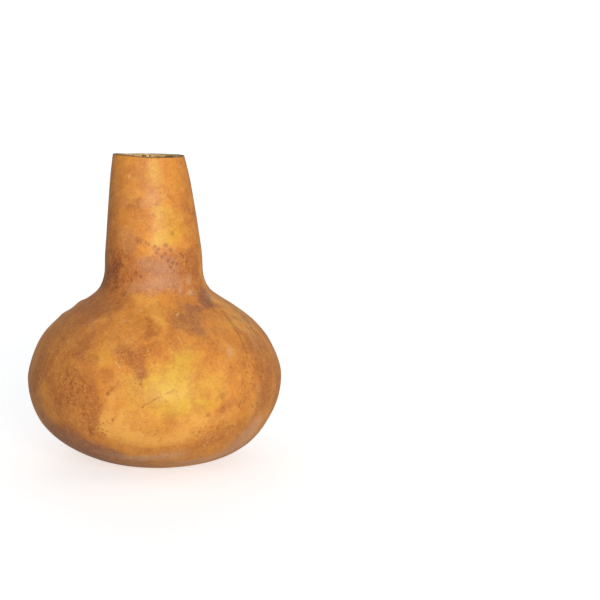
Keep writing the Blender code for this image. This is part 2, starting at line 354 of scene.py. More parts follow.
class Value:
    """A number that varies over a surface. Arithmetic on it adds Math nodes to its graph."""

    def __init__(self, graph: "Graph", socket: Socket) -> None:
        """Wraps one output socket of the graph."""
        self.graph = graph
        self.socket = socket

    def _with(self, operation: str, first: Number, second: Number) -> "Value":
        """Adds a Math node over two terms."""
        return self.graph.value("ShaderNodeMath", {"operation": operation}, {0: first, 1: second})

    def __add__(self, other: Number) -> "Value":
        """self + other"""
        return self._with("ADD", self, other)

    __radd__ = __add__

    def __sub__(self, other: Number) -> "Value":
        """self - other"""
        return self._with("SUBTRACT", self, other)

    def __rsub__(self, other: Number) -> "Value":
        """other - self"""
        return self._with("SUBTRACT", other, self)

    def __mul__(self, other: Number) -> "Value":
        """self * other"""
        return self._with("MULTIPLY", self, other)

    __rmul__ = __mul__

    def __truediv__(self, other: Number) -> "Value":
        """self / other"""
        return self._with("DIVIDE", self, other)

    def swing(self) -> "Value":
        """A pattern about 0.5, moved to be about 0."""
        return self - 0.5

    def least(self, other: Number) -> "Value":
        """The smaller of self and other."""
        return self._with("MINIMUM", self, other)

    def most(self, other: Number) -> "Value":
        """The larger of self and other."""
        return self._with("MAXIMUM", self, other)

    def rise(self, low: float, high: float) -> "Value":
        """A smooth step: 0 where self is below low, and 1 where it is above high."""
        limits = {"Value": self, "From Min": low, "From Max": high}
        return self.graph.value("ShaderNodeMapRange", {"interpolation_type": "SMOOTHSTEP"}, limits)

    def fall(self, low: float, high: float) -> "Value":
        """A smooth step down: 1 where self is below low, and 0 where it is above high."""
        return 1.0 - self.rise(low, high)


@dataclass(frozen=True)
class Clouding:
    """The grain of a cloudy pattern, with its lengths in metres.

    Attributes:
        size: how large its largest clouds are.
        detail: how many finer layers it has.
        rough: how strong the finer layers are.
        swirl: how large the swirls are that push it about, or 0 for none.
        push: how far they push it.
    """

    size: float
    detail: float
    rough: float
    swirl: float = 0.0
    push: float = 0.0


class Graph:
    """The node tree of a material or of the room, with short ways to add what these finishes need."""

    def __init__(self, owner: Union[bpy.types.Material, bpy.types.World]) -> None:
        """Empties the owner's node tree.

        Args:
            owner: the material, or the room, whose nodes these are.
        """
        owner.use_nodes = True
        self.owner = owner
        self.tree = owner.node_tree
        self.tree.nodes.clear()
        self.place = self.node("ShaderNodeTexCoord").outputs["Object"]

    def node(
        self, kind: str, settings: Optional[Mapping] = None, inputs: Optional[Mapping] = None
    ) -> bpy.types.Node:
        """Adds a node.

        Args:
            kind: the node's type, such as ShaderNodeMath.
            settings: its properties, which are set first.
            inputs: a value or a link for each named or numbered socket.

        Returns:
            The new node.
        """
        made = self.tree.nodes.new(kind)
        for name, setting in (settings or {}).items():
            setattr(made, name, setting)
        for name, given in (inputs or {}).items():
            given = given.socket if isinstance(given, Value) else given
            if isinstance(given, Socket):
                self.tree.links.new(given, made.inputs[name])
            else:
                made.inputs[name].default_value = given
        return made

    def value(
        self, kind: str, settings: Optional[Mapping] = None, inputs: Optional[Mapping] = None, output: str = ""
    ) -> Value:
        """Adds a node and wraps one of its outputs.

        Args:
            kind: the node's type.
            settings: its properties.
            inputs: its sockets' values or links.
            output: the output's name, or nothing for the first one.

        Returns:
            The output as a Value.
        """
        outputs = self.node(kind, settings, inputs).outputs
        return Value(self, outputs[output] if output else outputs[0])

    def attribute(self, name: str) -> bpy.types.Node:
        """Adds a node that reads one of the mesh's attributes."""
        return self.node("ShaderNodeAttribute", {"attribute_name": name, "attribute_type": "GEOMETRY"})

    def number(self, name: str) -> Value:
        """The mesh's attribute of that name, as a number."""
        return Value(self, self.attribute(name).outputs["Fac"])

    def noise(self, size: float, detail: float = 3.0, rough: float = 0.55, place: Optional[Socket] = None) -> Value:
        """A cloudy pattern about 0.5.

        Args:
            size: how large its largest clouds are, in metres.
            detail: how many finer layers it has.
            rough: how strong the finer layers are.
            place: the coordinates, or nothing for the object's own.

        Returns:
            The pattern, from 0 to 1.
        """
        place = self.place if place is None else place
        inputs = {"Vector": place, "Scale": 1 / size, "Detail": detail, "Roughness": rough}
        return self.value("ShaderNodeTexNoise", {}, inputs, "Fac")

    def clouding(self, grain: Clouding, place: Optional[Socket] = None) -> Value:
        """Adds the pattern that a Clouding describes.

        Args:
            grain: the pattern's sizes.
            place: the coordinates, or nothing for the object's own, pushed about as the Clouding says.

        Returns:
            The pattern, from 0 to 1.
        """
        if place is None and grain.swirl:
            place = self.stirred(grain.swirl, grain.push)
        return self.noise(grain.size, grain.detail, grain.rough, place)

    def vector(self, operation: str, first: object, second: object) -> Socket:
        """Adds a Vector Math node over two vectors and returns its vector."""
        made = self.node("ShaderNodeVectorMath", {"operation": operation}, {0: first, 1: second})
        return made.outputs["Vector"]

    def stirred(self, size: float, reach: float) -> Socket:
        """The object's coordinates, pushed about in swirls.

        Args:
            size: how large the swirls are, in metres.
            reach: how far they push, in metres.

        Returns:
            The coordinates' socket.
        """
        swirl = self.node("ShaderNodeTexNoise", {}, {"Vector": self.place, "Scale": 1 / size, "Detail": 2.0})
        middle = self.vector("SUBTRACT", swirl.outputs["Color"], (0.5, 0.5, 0.5))
        push = self.vector("MULTIPLY", middle, (2 * reach,) * 3)
        return self.vector("ADD", self.place, push)

    def stretched(self, across: float, along: float) -> Socket:
        """The object's coordinates, times across in X and Y and times along in Z."""
        return self.vector("MULTIPLY", self.place, (across, across, along))

    def blend(self, first: object, second: object, share: Number, mode: str = "MIX") -> Socket:
        """Mixes two colours.

        Args:
            first: the colour, or its socket, where share is 0.
            second: the colour, or its socket, where share is 1.
            share: how much of the second.
            mode: how the second is laid on the first, such as MULTIPLY.

        Returns:
            The mixed colour's socket.
        """
        first, second = ((*c, 1.0) if isinstance(c, tuple) else c for c in (first, second))
        settings = {"data_type": "RGBA", "blend_type": mode, "clamp_factor": True}
        return self.node("ShaderNodeMix", settings, {0: share, 6: first, 7: second}).outputs[2]

    def from_mark(self, mark: Mark, place: Socket) -> Value:
        """How far each place is from the nearest mark of a kind, in shares of the mark's reach.

        Args:
            mark: the kind.
            place: the coordinates to measure from.

        Returns:
            The distance: 0 in a mark's middle and 1 at its edge.
        """
        offset = self.vector("SUBTRACT", place, self.attribute(f"{mark.value}_start").outputs["Vector"])
        along = self.attribute(f"{mark.value}_along").outputs["Vector"]
        inverse = self.attribute(f"{mark.value}_inverse").outputs["Vector"]
        dots = {"operation": "DOT_PRODUCT"}
        share = self.value("ShaderNodeVectorMath", dots, {0: offset, 1: inverse}, "Value").most(0.0).least(1.0)
        nearest = self.node("ShaderNodeVectorMath", {"operation": "SCALE"}, {0: along, "Scale": share})
        ends = {0: offset, 1: nearest.outputs["Vector"]}
        away = self.value("ShaderNodeVectorMath", {"operation": "DISTANCE"}, ends, "Value")
        return away / self.number(f"{mark.value}_reach")

    def dots(self, size: float, share: Number, reach: float, place: Optional[Socket] = None) -> Value:
        """Scattered round dots.

        Args:
            size: the size of the cells that may hold one dot each, in metres.
            share: the share of the cells that holds one, which may vary.
            reach: a dot's radius, as a share of a cell.
            place: the coordinates, or nothing for the object's own.

        Returns:
            1 in the dots, softly falling to 0 at their edges.
        """
        place = self.place if place is None else place
        made = self.node("ShaderNodeTexVoronoi", {}, {"Vector": place, "Scale": 1 / size})
        luck = self.node("ShaderNodeSeparateColor", {}, {0: made.outputs["Color"]})
        chosen = self.value("ShaderNodeMath", {"operation": "LESS_THAN"}, {0: luck.outputs[0], 1: share})
        smallest, spread = 0.6, 0.6
        grown = Value(self, luck.outputs[1]) * spread + smallest
        return (Value(self, made.outputs["Distance"]) / grown).fall(0.4 * reach, reach) * chosen

    def bumps(self, height: Value, depth: float, before: Optional[Socket] = None) -> Socket:
        """Turns a height from 0 to 1 into a bent normal.

        Args:
            height: the pattern.
            depth: what 1 stands for, in metres.
            before: another bent normal to add to.

        Returns:
            The normal's socket.
        """
        inputs = {"Height": height, "Distance": depth, "Strength": 1.0}
        if before is not None:
            inputs["Normal"] = before
        return self.node("ShaderNodeBump", {}, inputs).outputs["Normal"]

    def surface(self, varying: Mapping, even: Mapping) -> bpy.types.Material:
        """Ends the graph in a Principled shader.

        Args:
            varying: the sockets that change over the surface.
            even: the sockets that are the same all over.

        Returns:
            The finished material.
        """
        shader = self.node("ShaderNodeBsdfPrincipled", {}, {**varying, **even})
        self.node("ShaderNodeOutputMaterial", {}, {"Surface": shader.outputs["BSDF"]})
        return self.owner


@dataclass(frozen=True)
class Paint:
    """A colour that is laid over another.

    Attributes:
        colour: the colour.
        share: how much of it is laid where it is strongest.
        varied: how much a second pattern adds to that share.
    """

    colour: Colour
    share: float
    varied: float = 0.0


@dataclass(frozen=True)
class Dotting:
    """Scattered dots, denser where the skin is freckled.

    Attributes:
        gap: how far apart they can be, in metres.
        reach: a dot's radius, as a share of the gap.
        anywhere: the share of the places that holds one on any skin.
        freckled: the share that freckled skin adds.
    """

    gap: float
    reach: float
    anywhere: float
    freckled: float = 0.0


@dataclass(frozen=True)
class Patterns:
    """The cloudy patterns that the skin's layers share, and the wash made of the finest two."""

    cloud: Value
    rosiness: Value
    blotch: Value
    mottle: Value
    grain: Value
    wash: Value


Layer = tuple[Union[Paint, Value], ...]


@dataclass(frozen=True)
class WaxySkin:
    """The cured skin: tan with golden places, clouded, stained and speckled, under a thin dull gloss, with painted
    shade under the belly and at its sides, and a painted highlight and painted floor light on its front.
    """

    ground: Colour = srgb(238, 156, 62)
    tan: Colour = srgb(208, 124, 54)
    sand: Colour = srgb(252, 178, 84)
    rust: Colour = srgb(172, 96, 48)
    speck: Colour = srgb(132, 62, 32)
    light: Colour = srgb(246, 206, 136)
    mark: Colour = srgb(126, 68, 46)

    shaded: Paint = Paint(tan, 0.9)
    rosy: Paint = Paint(srgb(224, 150, 86), 0.6)
    # Lighter skin, and painted light on the front of the belly and at the neck's foot
    pale: Paint = Paint(sand, 0.9)
    # Golden skin, and a painted highlight on the front of the belly and neck, which this colour is set to match
    golden: Paint = Paint(srgb(234, 184, 58), 0.9)
    mouldy: Paint = Paint(tan, 0.35)
    tide_line: Paint = Paint(speck, 0.22)
    # Brown stains, and painted shade at the gourd's left and right sides
    brown: Paint = Paint(rust, 0.64, 0.8)
    red: Paint = Paint(srgb(128, 62, 38), 0.60, 0.8)
    # Purplish stains, and painted shade on the underside, which this colour is set to match
    plum_and_shade: Paint = Paint(srgb(140, 86, 70), 0.66, 0.6)
    # Dusty scuffs, and a painted bluish reflection of the floor's light low on the front, which sets this colour's
    # blue
    dust_and_floor_light: Paint = Paint(srgb(222, 176, 140), 0.45)
    dark_streak: Paint = Paint(rust, 0.14)
    pale_streak: Paint = Paint(sand, 0.10)
    bright_streak: Paint = Paint(light, 0.46)
    dark_grain: Paint = Paint(speck, 0.30)
    light_grain: Paint = Paint(light, 0.22)
    freckle: Paint = Paint(srgb(142, 68, 36), 0.48)
    fine_speck: Paint = Paint(speck, 0.1, 0.7)
    coarse_speck: Paint = Paint(speck, 0.45)
    light_speck: Paint = Paint(light, 0.5)
    ring: Paint = Paint(mark, 0.54, -0.22)
    pit: Paint = Paint(speck, 0.50)
    vein: Paint = Paint(mark, 0.32)
    scar: Paint = Paint(srgb(158, 80, 44), 0.52)
    fleck: Paint = Paint(light, 0.45)

    cloud: Clouding = Clouding(0.034, 8.0, 0.66, 0.020, 0.008)
    rosiness: Clouding = Clouding(0.022, 7.0, 0.70, 0.012, 0.006)
    mould: Clouding = Clouding(0.015, 6.0, 0.62, 0.010, 0.004)
    blotch: Clouding = Clouding(0.013, 7.0, 0.72, 0.009, 0.003)
    mottle: Clouding = Clouding(0.0050, 5.0, 0.74, 0.004, 0.0012)
    freckling: Clouding = Clouding(0.0028, 2.0, 0.5, 0.0016, 0.0003)
    grain: Clouding = Clouding(0.0016, 3.0, 0.6)
    streak: Clouding = Clouding(0.0011, 3.0, 0.6)
    peel: Clouding = Clouding(0.0030, 2.0, 0.5)

    fine_dots: Dotting = Dotting(0.0030, 0.26, 0.03, 0.28)
    coarse_dots: Dotting = Dotting(0.0085, 0.17, 0.03, 0.22)
    light_dots: Dotting = Dotting(0.0060, 0.13, 0.12)
    large_ring: tuple[float, float] = (0.0014, 0.0024)
    peel_depth: float = 0.00010
    mottle_depth: float = 0.00012
    mark_depth: float = 0.00022
    stain_weights: tuple[float, float, float, float] = (1.5, 1.4, 1.6, 1.2)
    stain_shift: float = 0.20
    soft: tuple[float, float] = (0.0026, 0.0005)
    wandering: tuple[float, float] = (0.0042, 0.0015)
    gloss: float = 0.50

    def material(self) -> bpy.types.Material:
        """Makes the skin's material.

        Returns:
            The finished material.
        """
        graph = Graph(bpy.data.materials.new("waxy_skin"))
        kinds = self.cloud, self.rosiness, self.blotch, self.mottle, self.grain
        cloud, rosiness, blotch, mottle, grain = (graph.clouding(kind) for kind in kinds)
        wash = mottle.swing() * 0.9 + grain.swing() * 1.0
        on = Patterns(cloud, rosiness, blotch, mottle, grain, wash)
        # The brown, plum and dusty patches are stains, and also painted shade at the sides and under the belly and a
        # painted reflection of the floor's light low on the front
        brown, red = (self._stained(graph, kind, cloud, blotch, mottle) for kind in (Stain.BROWN_AND_EDGE_SHADE, Stain.RED))
        plum_and_shade = self._stained(graph, Stain.PLUM_AND_UNDERSIDE_SHADE, rosiness, blotch, mottle)
        dust_and_floor_light = self._stained(graph, Stain.DUSTY_AND_FLOOR_LIGHT, blotch, mottle, grain)
        streak = graph.clouding(self.streak, graph.attribute("up_the_skin").outputs["Vector"])
        bright = graph.number(Stain.STREAKED.value) * streak.rise(0.50, 0.58)
        coarse = self._dots(graph, self.coarse_dots)
        marks = self._marks(graph, on)
        stains = (
            (self.brown, brown, wash),
            (self.red, red, wash),
            (self.plum_and_shade, plum_and_shade, wash),
            (self.dust_and_floor_light, dust_and_floor_light),
            (self.dark_streak, streak.rise(0.50, 0.68) * rosiness.rise(0.40, 0.60)),
            (self.pale_streak, streak.fall(0.34, 0.50) * blotch.rise(0.45, 0.60)),
            (self.bright_streak, bright),
        )
        large = graph.number(f"{Mark.RING.value}_reach").rise(*self.large_ring)
        colour = self._laid(graph, (*self._clouded(graph, on), *stains, *self._specks(graph, on, coarse)))
        small = (
            (self.ring, self._ringed(graph, on, large), large),
            (self.pit, marks[Mark.PIT]),
            (self.vein, marks[Mark.VEIN]),
            (self.scar, marks[Mark.SCAR]),
            (self.fleck, marks[Mark.FLECK].most(marks[Mark.SCRATCH])),
        )
        colour = self._laid(graph, small, colour)
        rough = self.gloss + cloud.swing() * 0.10 + mottle.swing() * 0.12 + dust_and_floor_light * 0.12 + (brown + plum_and_shade) * 0.03
        dents = marks[Mark.PIT] + coarse * 0.4 + marks[Mark.SCAR] * 0.2 + marks[Mark.SCRATCH] * 0.5 - bright * 0.2
        normal = graph.bumps(graph.clouding(self.peel) * 0.7 + grain * 0.3, self.peel_depth)
        normal = graph.bumps(mottle, self.mottle_depth, normal)
        normal = graph.bumps(dents, -self.mark_depth, normal)
        return graph.surface(
            {"Base Color": colour, "Roughness": rough, "Normal": normal},
            {"IOR": 1.45, "Specular IOR Level": 0.32, "Coat Weight": 0.05, "Coat Roughness": 0.30},
        )

    def _laid(self, graph: Graph, layers: Sequence[Layer], under: Optional[Socket] = None) -> Socket:
        """Lays paints over one another.

        Args:
            graph: the material's graph.
            layers: each paint, where it goes, and the second pattern that varies its share, if one does.
            under: the colour under them, or nothing for the bare ground.

        Returns:
            The colour's socket.
        """
        colour = self.ground if under is None else under
        for paint, where, *second in layers:
            share = second[0] * paint.varied + paint.share if second else paint.share
            colour = graph.blend(colour, paint.colour, where * share)
        return colour

    def _stained(self, graph: Graph, stain: Stain, broad: Value, middling: Value, fine: Value) -> Value:
        """A kind of patch with frayed, mottled edges: a stain, and the painted shade or light that some kinds also
        hold.

        Args:
            graph: the material's graph.
            stain: the kind.
            broad: a pattern of clouds that moves the edges in and out.
            middling: a smaller one that breaks the edges up.
            fine: the smallest one, that frays them.

        Returns:
            How strong the patch is, from 0 to 1.
        """
        mask = graph.number(stain.value)
        own, first, second, third = self.stain_weights
        frayed = mask * own + broad.swing() * first + middling.swing() * second + fine.swing() * third
        frayed = frayed - self.stain_shift
        return (frayed.rise(0.05, 0.90) * 0.42 + 0.58) * mask.rise(-0.15, 1.0) * mask.rise(0.0, 0.30)

    def _clouded(self, graph: Graph, on: Patterns) -> list[Layer]:
        """The broad, soft changes of the ground's colour, with a painted highlight and painted floor light among the
        golden and pale patches.

        Args:
            graph: the material's graph.
            on: the patterns.

        Returns:
            The layers, from the lowest up.
        """
        shade = on.cloud.swing() * 1.2 + on.blotch.swing() * 1.1 + on.mottle.swing() * 0.5
        # The pale and golden patches also hold painted light: a highlight on the front of the belly and neck, and the
        # floor's light low on the front
        pale = graph.number(Stain.PALE_AND_LIT.value) - shade * 0.5 + on.mottle.swing() * 0.6
        golden = graph.number(Stain.GOLD_AND_HIGHLIGHT.value) * 1.15 - shade * 0.5 + on.rosiness.swing() * 1.2
        mould = graph.clouding(self.mould) - 0.54
        tide = mould.most(0.0 - mould).fall(0.0, 0.022) * on.blotch.rise(0.46, 0.60)
        return [
            (self.shaded, (shade + 0.30).rise(0.0, 0.70)),
            (self.rosy, (on.rosiness.swing() * 2.2 + on.mottle.swing() * 0.6).rise(-0.05, 0.45)),
            (self.pale, pale.rise(0.08, 0.95)),
            (self.golden, golden.rise(0.0, 1.1)),
            (self.mouldy, mould.rise(0.0, 0.05)),
            (self.tide_line, tide),
        ]

    def _dots(self, graph: Graph, dotting: Dotting) -> Value:
        """Adds scattered dots.

        Args:
            graph: the material's graph.
            dotting: their sizes and how many there are.

        Returns:
            1 in the dots and 0 off them.
        """
        share: Number = dotting.anywhere
        if dotting.freckled:
            share = graph.number(Stain.FRECKLED.value) * dotting.freckled + dotting.anywhere
        place = graph.stirred(self.freckling.swirl, self.freckling.push)
        return graph.dots(dotting.gap, share, dotting.reach, place)

    def _specks(self, graph: Graph, on: Patterns, coarse: Value) -> list[Layer]:
        """The fine grain, the freckles and the specks.

        Args:
            graph: the material's graph.
            on: the patterns.
            coarse: where the coarse specks are.

        Returns:
            The layers, from the lowest up.
        """
        tint = on.grain.swing() * 2.0 + on.mottle.swing() * 1.0
        freckled = graph.number(Stain.FRECKLED.value)
        freckles = (graph.clouding(self.freckling) + freckled * 0.10).rise(0.60, 0.74) * freckled.rise(0.0, 0.7)
        return [
            (self.dark_grain, tint.rise(0.0, 0.60)),
            (self.light_grain, tint.fall(-0.60, 0.0)),
            (self.freckle, freckles),
            (self.fine_speck, self._dots(graph, self.fine_dots), on.mottle),
            (self.coarse_speck, coarse),
            (self.light_speck, self._dots(graph, self.light_dots)),
        ]

    def _ringed(self, graph: Graph, on: Patterns, large: Value) -> Value:
        """The round spots, which are lighter in their middles where they are large.

        Args:
            graph: the material's graph.
            on: the patterns.
            large: 1 where the nearest spot is a large one, and 0 where it is small.

        Returns:
            How dark each place is.
        """
        ring = graph.from_mark(Mark.RING, graph.stirred(*self.soft))
        return (ring.fall(0.60, 1.40) - ring.fall(0.0, 0.75) * (large * 0.5 + 0.2)) * (on.blotch * 0.8 + 0.5)

    def _marks(self, graph: Graph, on: Patterns) -> dict[Mark, Value]:
        """The other small marks.

        Args:
            graph: the material's graph.
            on: the patterns.

        Returns:
            How strong each kind is.
        """
        soft, wandering = graph.stirred(*self.soft), graph.stirred(*self.wandering)
        away = {mark: graph.from_mark(mark, soft) for mark in (Mark.PIT, Mark.FLECK, Mark.SCRATCH)}
        away |= {mark: graph.from_mark(mark, wandering) for mark in (Mark.VEIN, Mark.SCAR)}
        return {
            Mark.PIT: away[Mark.PIT].fall(0.3, 1.4),
            Mark.FLECK: away[Mark.FLECK].fall(0.4, 1.2),
            Mark.SCRATCH: away[Mark.SCRATCH].fall(0.2, 1.4) * on.mottle.rise(0.30, 0.50),
            Mark.VEIN: away[Mark.VEIN].fall(0.1, 2.6) * on.mottle.rise(0.34, 0.56),
            Mark.SCAR: away[Mark.SCAR].fall(0.0, 2.4) * (on.mottle * 1.6 + 0.1),
        }


@dataclass(frozen=True)
class SawnEdge:
    """The cut edge of the shell: dull grey-brown wood under a thin dark skin, with the saw's marks."""

    wood: Colour = srgb(162, 128, 88)
    wood_dark: Colour = srgb(116, 88, 60)
    rind: Colour = srgb(206, 136, 64)
    pith: Colour = srgb(232, 196, 132)
    pores: Clouding = Clouding(0.0009, 3.0, 0.65)
    patchiness: Clouding = Clouding(0.006, 3.0, 0.6)
    teeth: Clouding = Clouding(0.0011, 2.0, 0.5)
    tooth_stretch: tuple[float, float, float] = (1.0, 0.12, 1.0)
    rind_depth: float = 0.0007
    pith_depth: float = 0.0048
    relief: float = 0.0003

    def material(self) -> bpy.types.Material:
        """Makes the cut edge's material.

        Returns:
            The finished material.
        """
        graph = Graph(bpy.data.materials.new("sawn_edge"))
        depth = graph.number("from_skin")
        pores, patchy = graph.clouding(self.pores), graph.clouding(self.patchiness)
        sawn = graph.clouding(self.teeth, graph.vector("MULTIPLY", graph.place, self.tooth_stretch))
        colour = graph.blend(self.wood, self.wood_dark, (pores * 0.6 + patchy * 0.4).rise(0.40, 0.66))
        colour = graph.blend(colour, self.wood_dark, sawn.rise(0.54, 0.70) * 0.6)
        pith = (depth + patchy.swing() * 0.004).rise(self.pith_depth - 0.0012, self.pith_depth + 0.0008)
        colour = graph.blend(colour, self.pith, pith * (pores * 0.7 + 0.3))
        rind = (depth + pores.swing() * 0.0004).fall(self.rind_depth * 0.5, self.rind_depth * 1.3)
        colour = graph.blend(colour, self.rind, rind * 0.85)
        normal = graph.bumps(pores, -self.relief)
        normal = graph.bumps(sawn, self.relief, normal)
        return graph.surface(
            {"Base Color": colour, "Roughness": pores * 0.2 + 0.72, "Normal": normal}, {"Specular IOR Level": 0.12}
        )


@dataclass(frozen=True)
class DryLining:
    """The dried pith that lines the shell: pale fibrous lumps with painted shade in their crevices, and painted shade
    that deepens further down.
    """

    cream: Colour = srgb(240, 208, 152)
    straw: Colour = srgb(216, 170, 106)
    # Painted shade in the lining's crevices
    crevice: Colour = srgb(120, 84, 50)
    # Painted shade that deepens further into the hollow
    deep_shade: Colour = srgb(150, 122, 88)
    fibres: Clouding = Clouding(0.0016, 4.0, 0.6)
    fibre_stretch: float = 0.25
    lumps: Clouding = Clouding(0.0028, 4.0, 0.65)
    deep_shade_between: tuple[float, float] = (0.02, 0.16)
    crevice_share: float = 0.72
    lump_depth: float = 0.0012
    fibre_depth: float = 0.0006

    def material(self) -> bpy.types.Material:
        """Makes the lining's material.

        Returns:
            The finished material.
        """
        graph = Graph(bpy.data.materials.new("dry_lining"))
        fibre = graph.clouding(self.fibres, graph.stretched(1.0, self.fibre_stretch))
        lump = graph.clouding(self.lumps)
        deep = graph.number("from_mouth").rise(*self.deep_shade_between)
        colour = graph.blend(self.cream, self.straw, (lump * 0.6 + fibre * 0.4).rise(0.38, 0.62))
        # Painted shade, growing deeper further down into the hollow
        colour = graph.blend(colour, self.deep_shade, deep * (lump * 0.6 + 0.4))
        # Painted shade in the crevices, where the lining is sunk
        dark = (graph.number("crevice") + fibre.swing() * 1.2 + lump.swing() * 1.4).rise(0.28, 0.80)
        colour = graph.blend(colour, self.crevice, dark * self.crevice_share)
        normal = graph.bumps(lump, self.lump_depth)
        normal = graph.bumps(fibre, self.fibre_depth, normal)
        return graph.surface(
            {"Base Color": colour, "Roughness": fibre * 0.15 + 0.80, "Normal": normal}, {"Specular IOR Level": 0.12}
        )


@dataclass(frozen=True)
class Outline:
    """The gourd's outline and unevenness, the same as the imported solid's. Lengths are in metres."""

    height: float = 0.2407
    belly_radius: float = 0.100
    belly_height: float = 0.066
    rest_radius: float = 0.024
    mouth_radius: float = 0.0274
    underside_fullness: float = 2.05
    shoulder_and_neck: tuple[tuple[float, float], ...] = (
        (0.0965, 0.082),
        (0.0886, 0.098),
        (0.0757, 0.112),
        (0.0587, 0.124),
        (0.0459, 0.133),
        (0.0409, 0.140),
        (0.0386, 0.148),
        (0.0380, 0.160),
        (0.0360, 0.180),
        (0.0330, 0.205),
        (0.0298, 0.228),
    )
    wall_thinnest: float = 0.0048
    wall_at_mouth: float = 0.0062
    wall_at_rest: float = 0.0060
    wall_grows_from_height: float = 0.150
    wall_grows_below_height: float = 0.040
    rest_shift: float = 0.0042
    rest_shift_top: float = 0.036
    shoulder_shift: float = -0.0012
    shoulder_shift_height: float = 0.110
    shoulder_shift_spread: float = 0.028
    neck_foot_height: float = 0.130
    neck_lean: tuple[float, float] = (-0.0030, 0.0018)
    two_lobes: float = 0.010
    three_lobes: float = 0.006
    belly_lobes_come: tuple[float, float] = (0.004, 0.040)
    belly_lobes_go: tuple[float, float] = (0.110, 0.150)
    mouth_oval: float = 0.018
    mouth_oval_bearing: float = 0.6
    mouth_oval_comes_from: float = 0.140
    cut_tilt: float = 0.00105
    cut_tilt_bearing: float = math.radians(-153)
    cut_wave: float = 0.0004
    cut_wave_bearing: float = 0.9
    cut_ripples: int = 5
    cut_ripple_share: float = 0.3
    cut_wave_depth: float = 0.020
    ground_flat_bearing: float = math.radians(62)
    ground_flat_height: float = 0.060
    ground_flat_depth: float = 0.0022
    ground_flat_spread: float = 0.038
    samples: int = 1200
    lean_samples: int = 40
    inside_evenness: float = 0.12
    inside_crowding: float = 2.6

    def side(self, rows: int) -> tuple[Array, Array]:
        """The outside from the edge of the resting spot up to the mouth, in evenly spaced points.

        Args:
            rows: how many points.

        Returns:
            Their radii and their heights.
        """
        turn = np.linspace(0, math.pi / 2, self.samples)
        power = 2 / self.underside_fullness
        low_radii = self.rest_radius + (self.belly_radius - self.rest_radius) * np.sin(turn) ** power
        low_heights = self.belly_height * (1 - np.cos(turn) ** power)
        high_heights = np.linspace(self.belly_height, self.height, self.samples)
        radii = np.concatenate([low_radii[:-1], self._radii_above_belly(high_heights)])
        heights = np.concatenate([low_heights[:-1], high_heights])
        travelled = np.concatenate([[0], np.cumsum(np.hypot(np.diff(radii), np.diff(heights)))])
        even = np.linspace(0, travelled[-1], rows)
        return np.interp(even, travelled, radii), np.interp(even, travelled, heights)

    def _radii_above_belly(self, heights: Array) -> Array:
        """A cubic spline through the stations, upright at the belly and unbent at the mouth.

        Args:
            heights: the heights to read it at.

        Returns:
            The radius at each height.
        """
        ends = (self.belly_radius, self.belly_height), (self.mouth_radius, self.height)
        radii, levels = np.array([ends[0], *self.shoulder_and_neck, ends[1]]).T
        gaps = np.diff(levels)
        slopes = np.diff(radii) / gaps
        count = len(levels)
        system = np.zeros((count, count))
        right = np.zeros(count)
        system[0, :2] = 2 * gaps[0], gaps[0]
        right[0] = 6 * slopes[0]
        system[-1, -1] = 1
        for i in range(1, count - 1):
            system[i, i - 1 : i + 2] = gaps[i - 1], 2 * (gaps[i - 1] + gaps[i]), gaps[i]
            right[i] = 6 * (slopes[i] - slopes[i - 1])
        bends = np.linalg.solve(system, right)
        at = np.clip(np.searchsorted(levels, heights, side="right") - 1, 0, count - 2)
        along = heights - levels[at]
        rise = slopes[at] - gaps[at] * (2 * bends[at] + bends[at + 1]) / 6
        turn = (bends[at + 1] - bends[at]) / (6 * gaps[at])
        return radii[at] + along * (rise + along * (bends[at] / 2 + along * turn))

    def inside(self, rows: int) -> tuple[Array, Array, Array, Array]:
        """The inside from the mouth's level down to over the edge of the resting spot.

        Args:
            rows: how many points, which are closer together near the mouth.

        Returns:
            Their radii and heights, and the radii and heights of the skin outside them.
        """
        radii, heights = self.side(self.samples)
        slope = np.gradient(radii), np.gradient(heights)
        length = np.hypot(*slope)
        wall = self.wall(heights)
        own_radii = radii - wall * slope[1] / length
        own_heights = heights + wall * slope[0] / length
        lift = self.height - own_heights[-1]
        back = -self.lean_samples
        lean = (own_radii[-1] - own_radii[back]) / (own_heights[-1] - own_heights[back])
        tops = own_radii[-1] + lean * lift, self.height, radii[-1], heights[-1]
        columns = [np.append(c, top)[::-1] for c, top in zip((own_radii, own_heights, radii, heights), tops)]
        travelled = np.concatenate([[0], np.cumsum(np.hypot(np.diff(columns[0]), np.diff(columns[1])))])
        share = np.linspace(0, 1, rows)
        even = self.inside_evenness
        stops = travelled[-1] * (even * share + (1 - even) * share**self.inside_crowding)
        return tuple(np.interp(stops, travelled, column) for column in columns)

    def wall(self, heights: Array) -> Array:
        """How thick the shell is.

        Args:
            heights: where.

        Returns:
            The thickness at each height.
        """
        mouth = smooth_step(heights, self.wall_grows_from_height, self.height)
        rest = 1 - smooth_step(heights, 0.0, self.wall_grows_below_height)
        thicker = (self.wall_at_mouth - self.wall_thinnest) * mouth
        return self.wall_thinnest + thicker + (self.wall_at_rest - self.wall_thinnest) * rest

    def middle(self, heights: Array) -> tuple[Array, Array]:
        """Where the gourd's middle is.

        Args:
            heights: the heights to find it at.

        Returns:
            Its X and its Y at each height.
        """
        up = np.clip((heights - self.neck_foot_height) / (self.height - self.neck_foot_height), 0, None)
        from_shoulder = (heights - self.shoulder_shift_height) / self.shoulder_shift_spread
        x = self.neck_lean[0] * up**2 + self.shoulder_shift * np.exp(-(from_shoulder**2))
        x = x + self.rest_shift * (1 - smooth_step(heights, 0.0, self.rest_shift_top))
        return x, self.neck_lean[1] * up**2

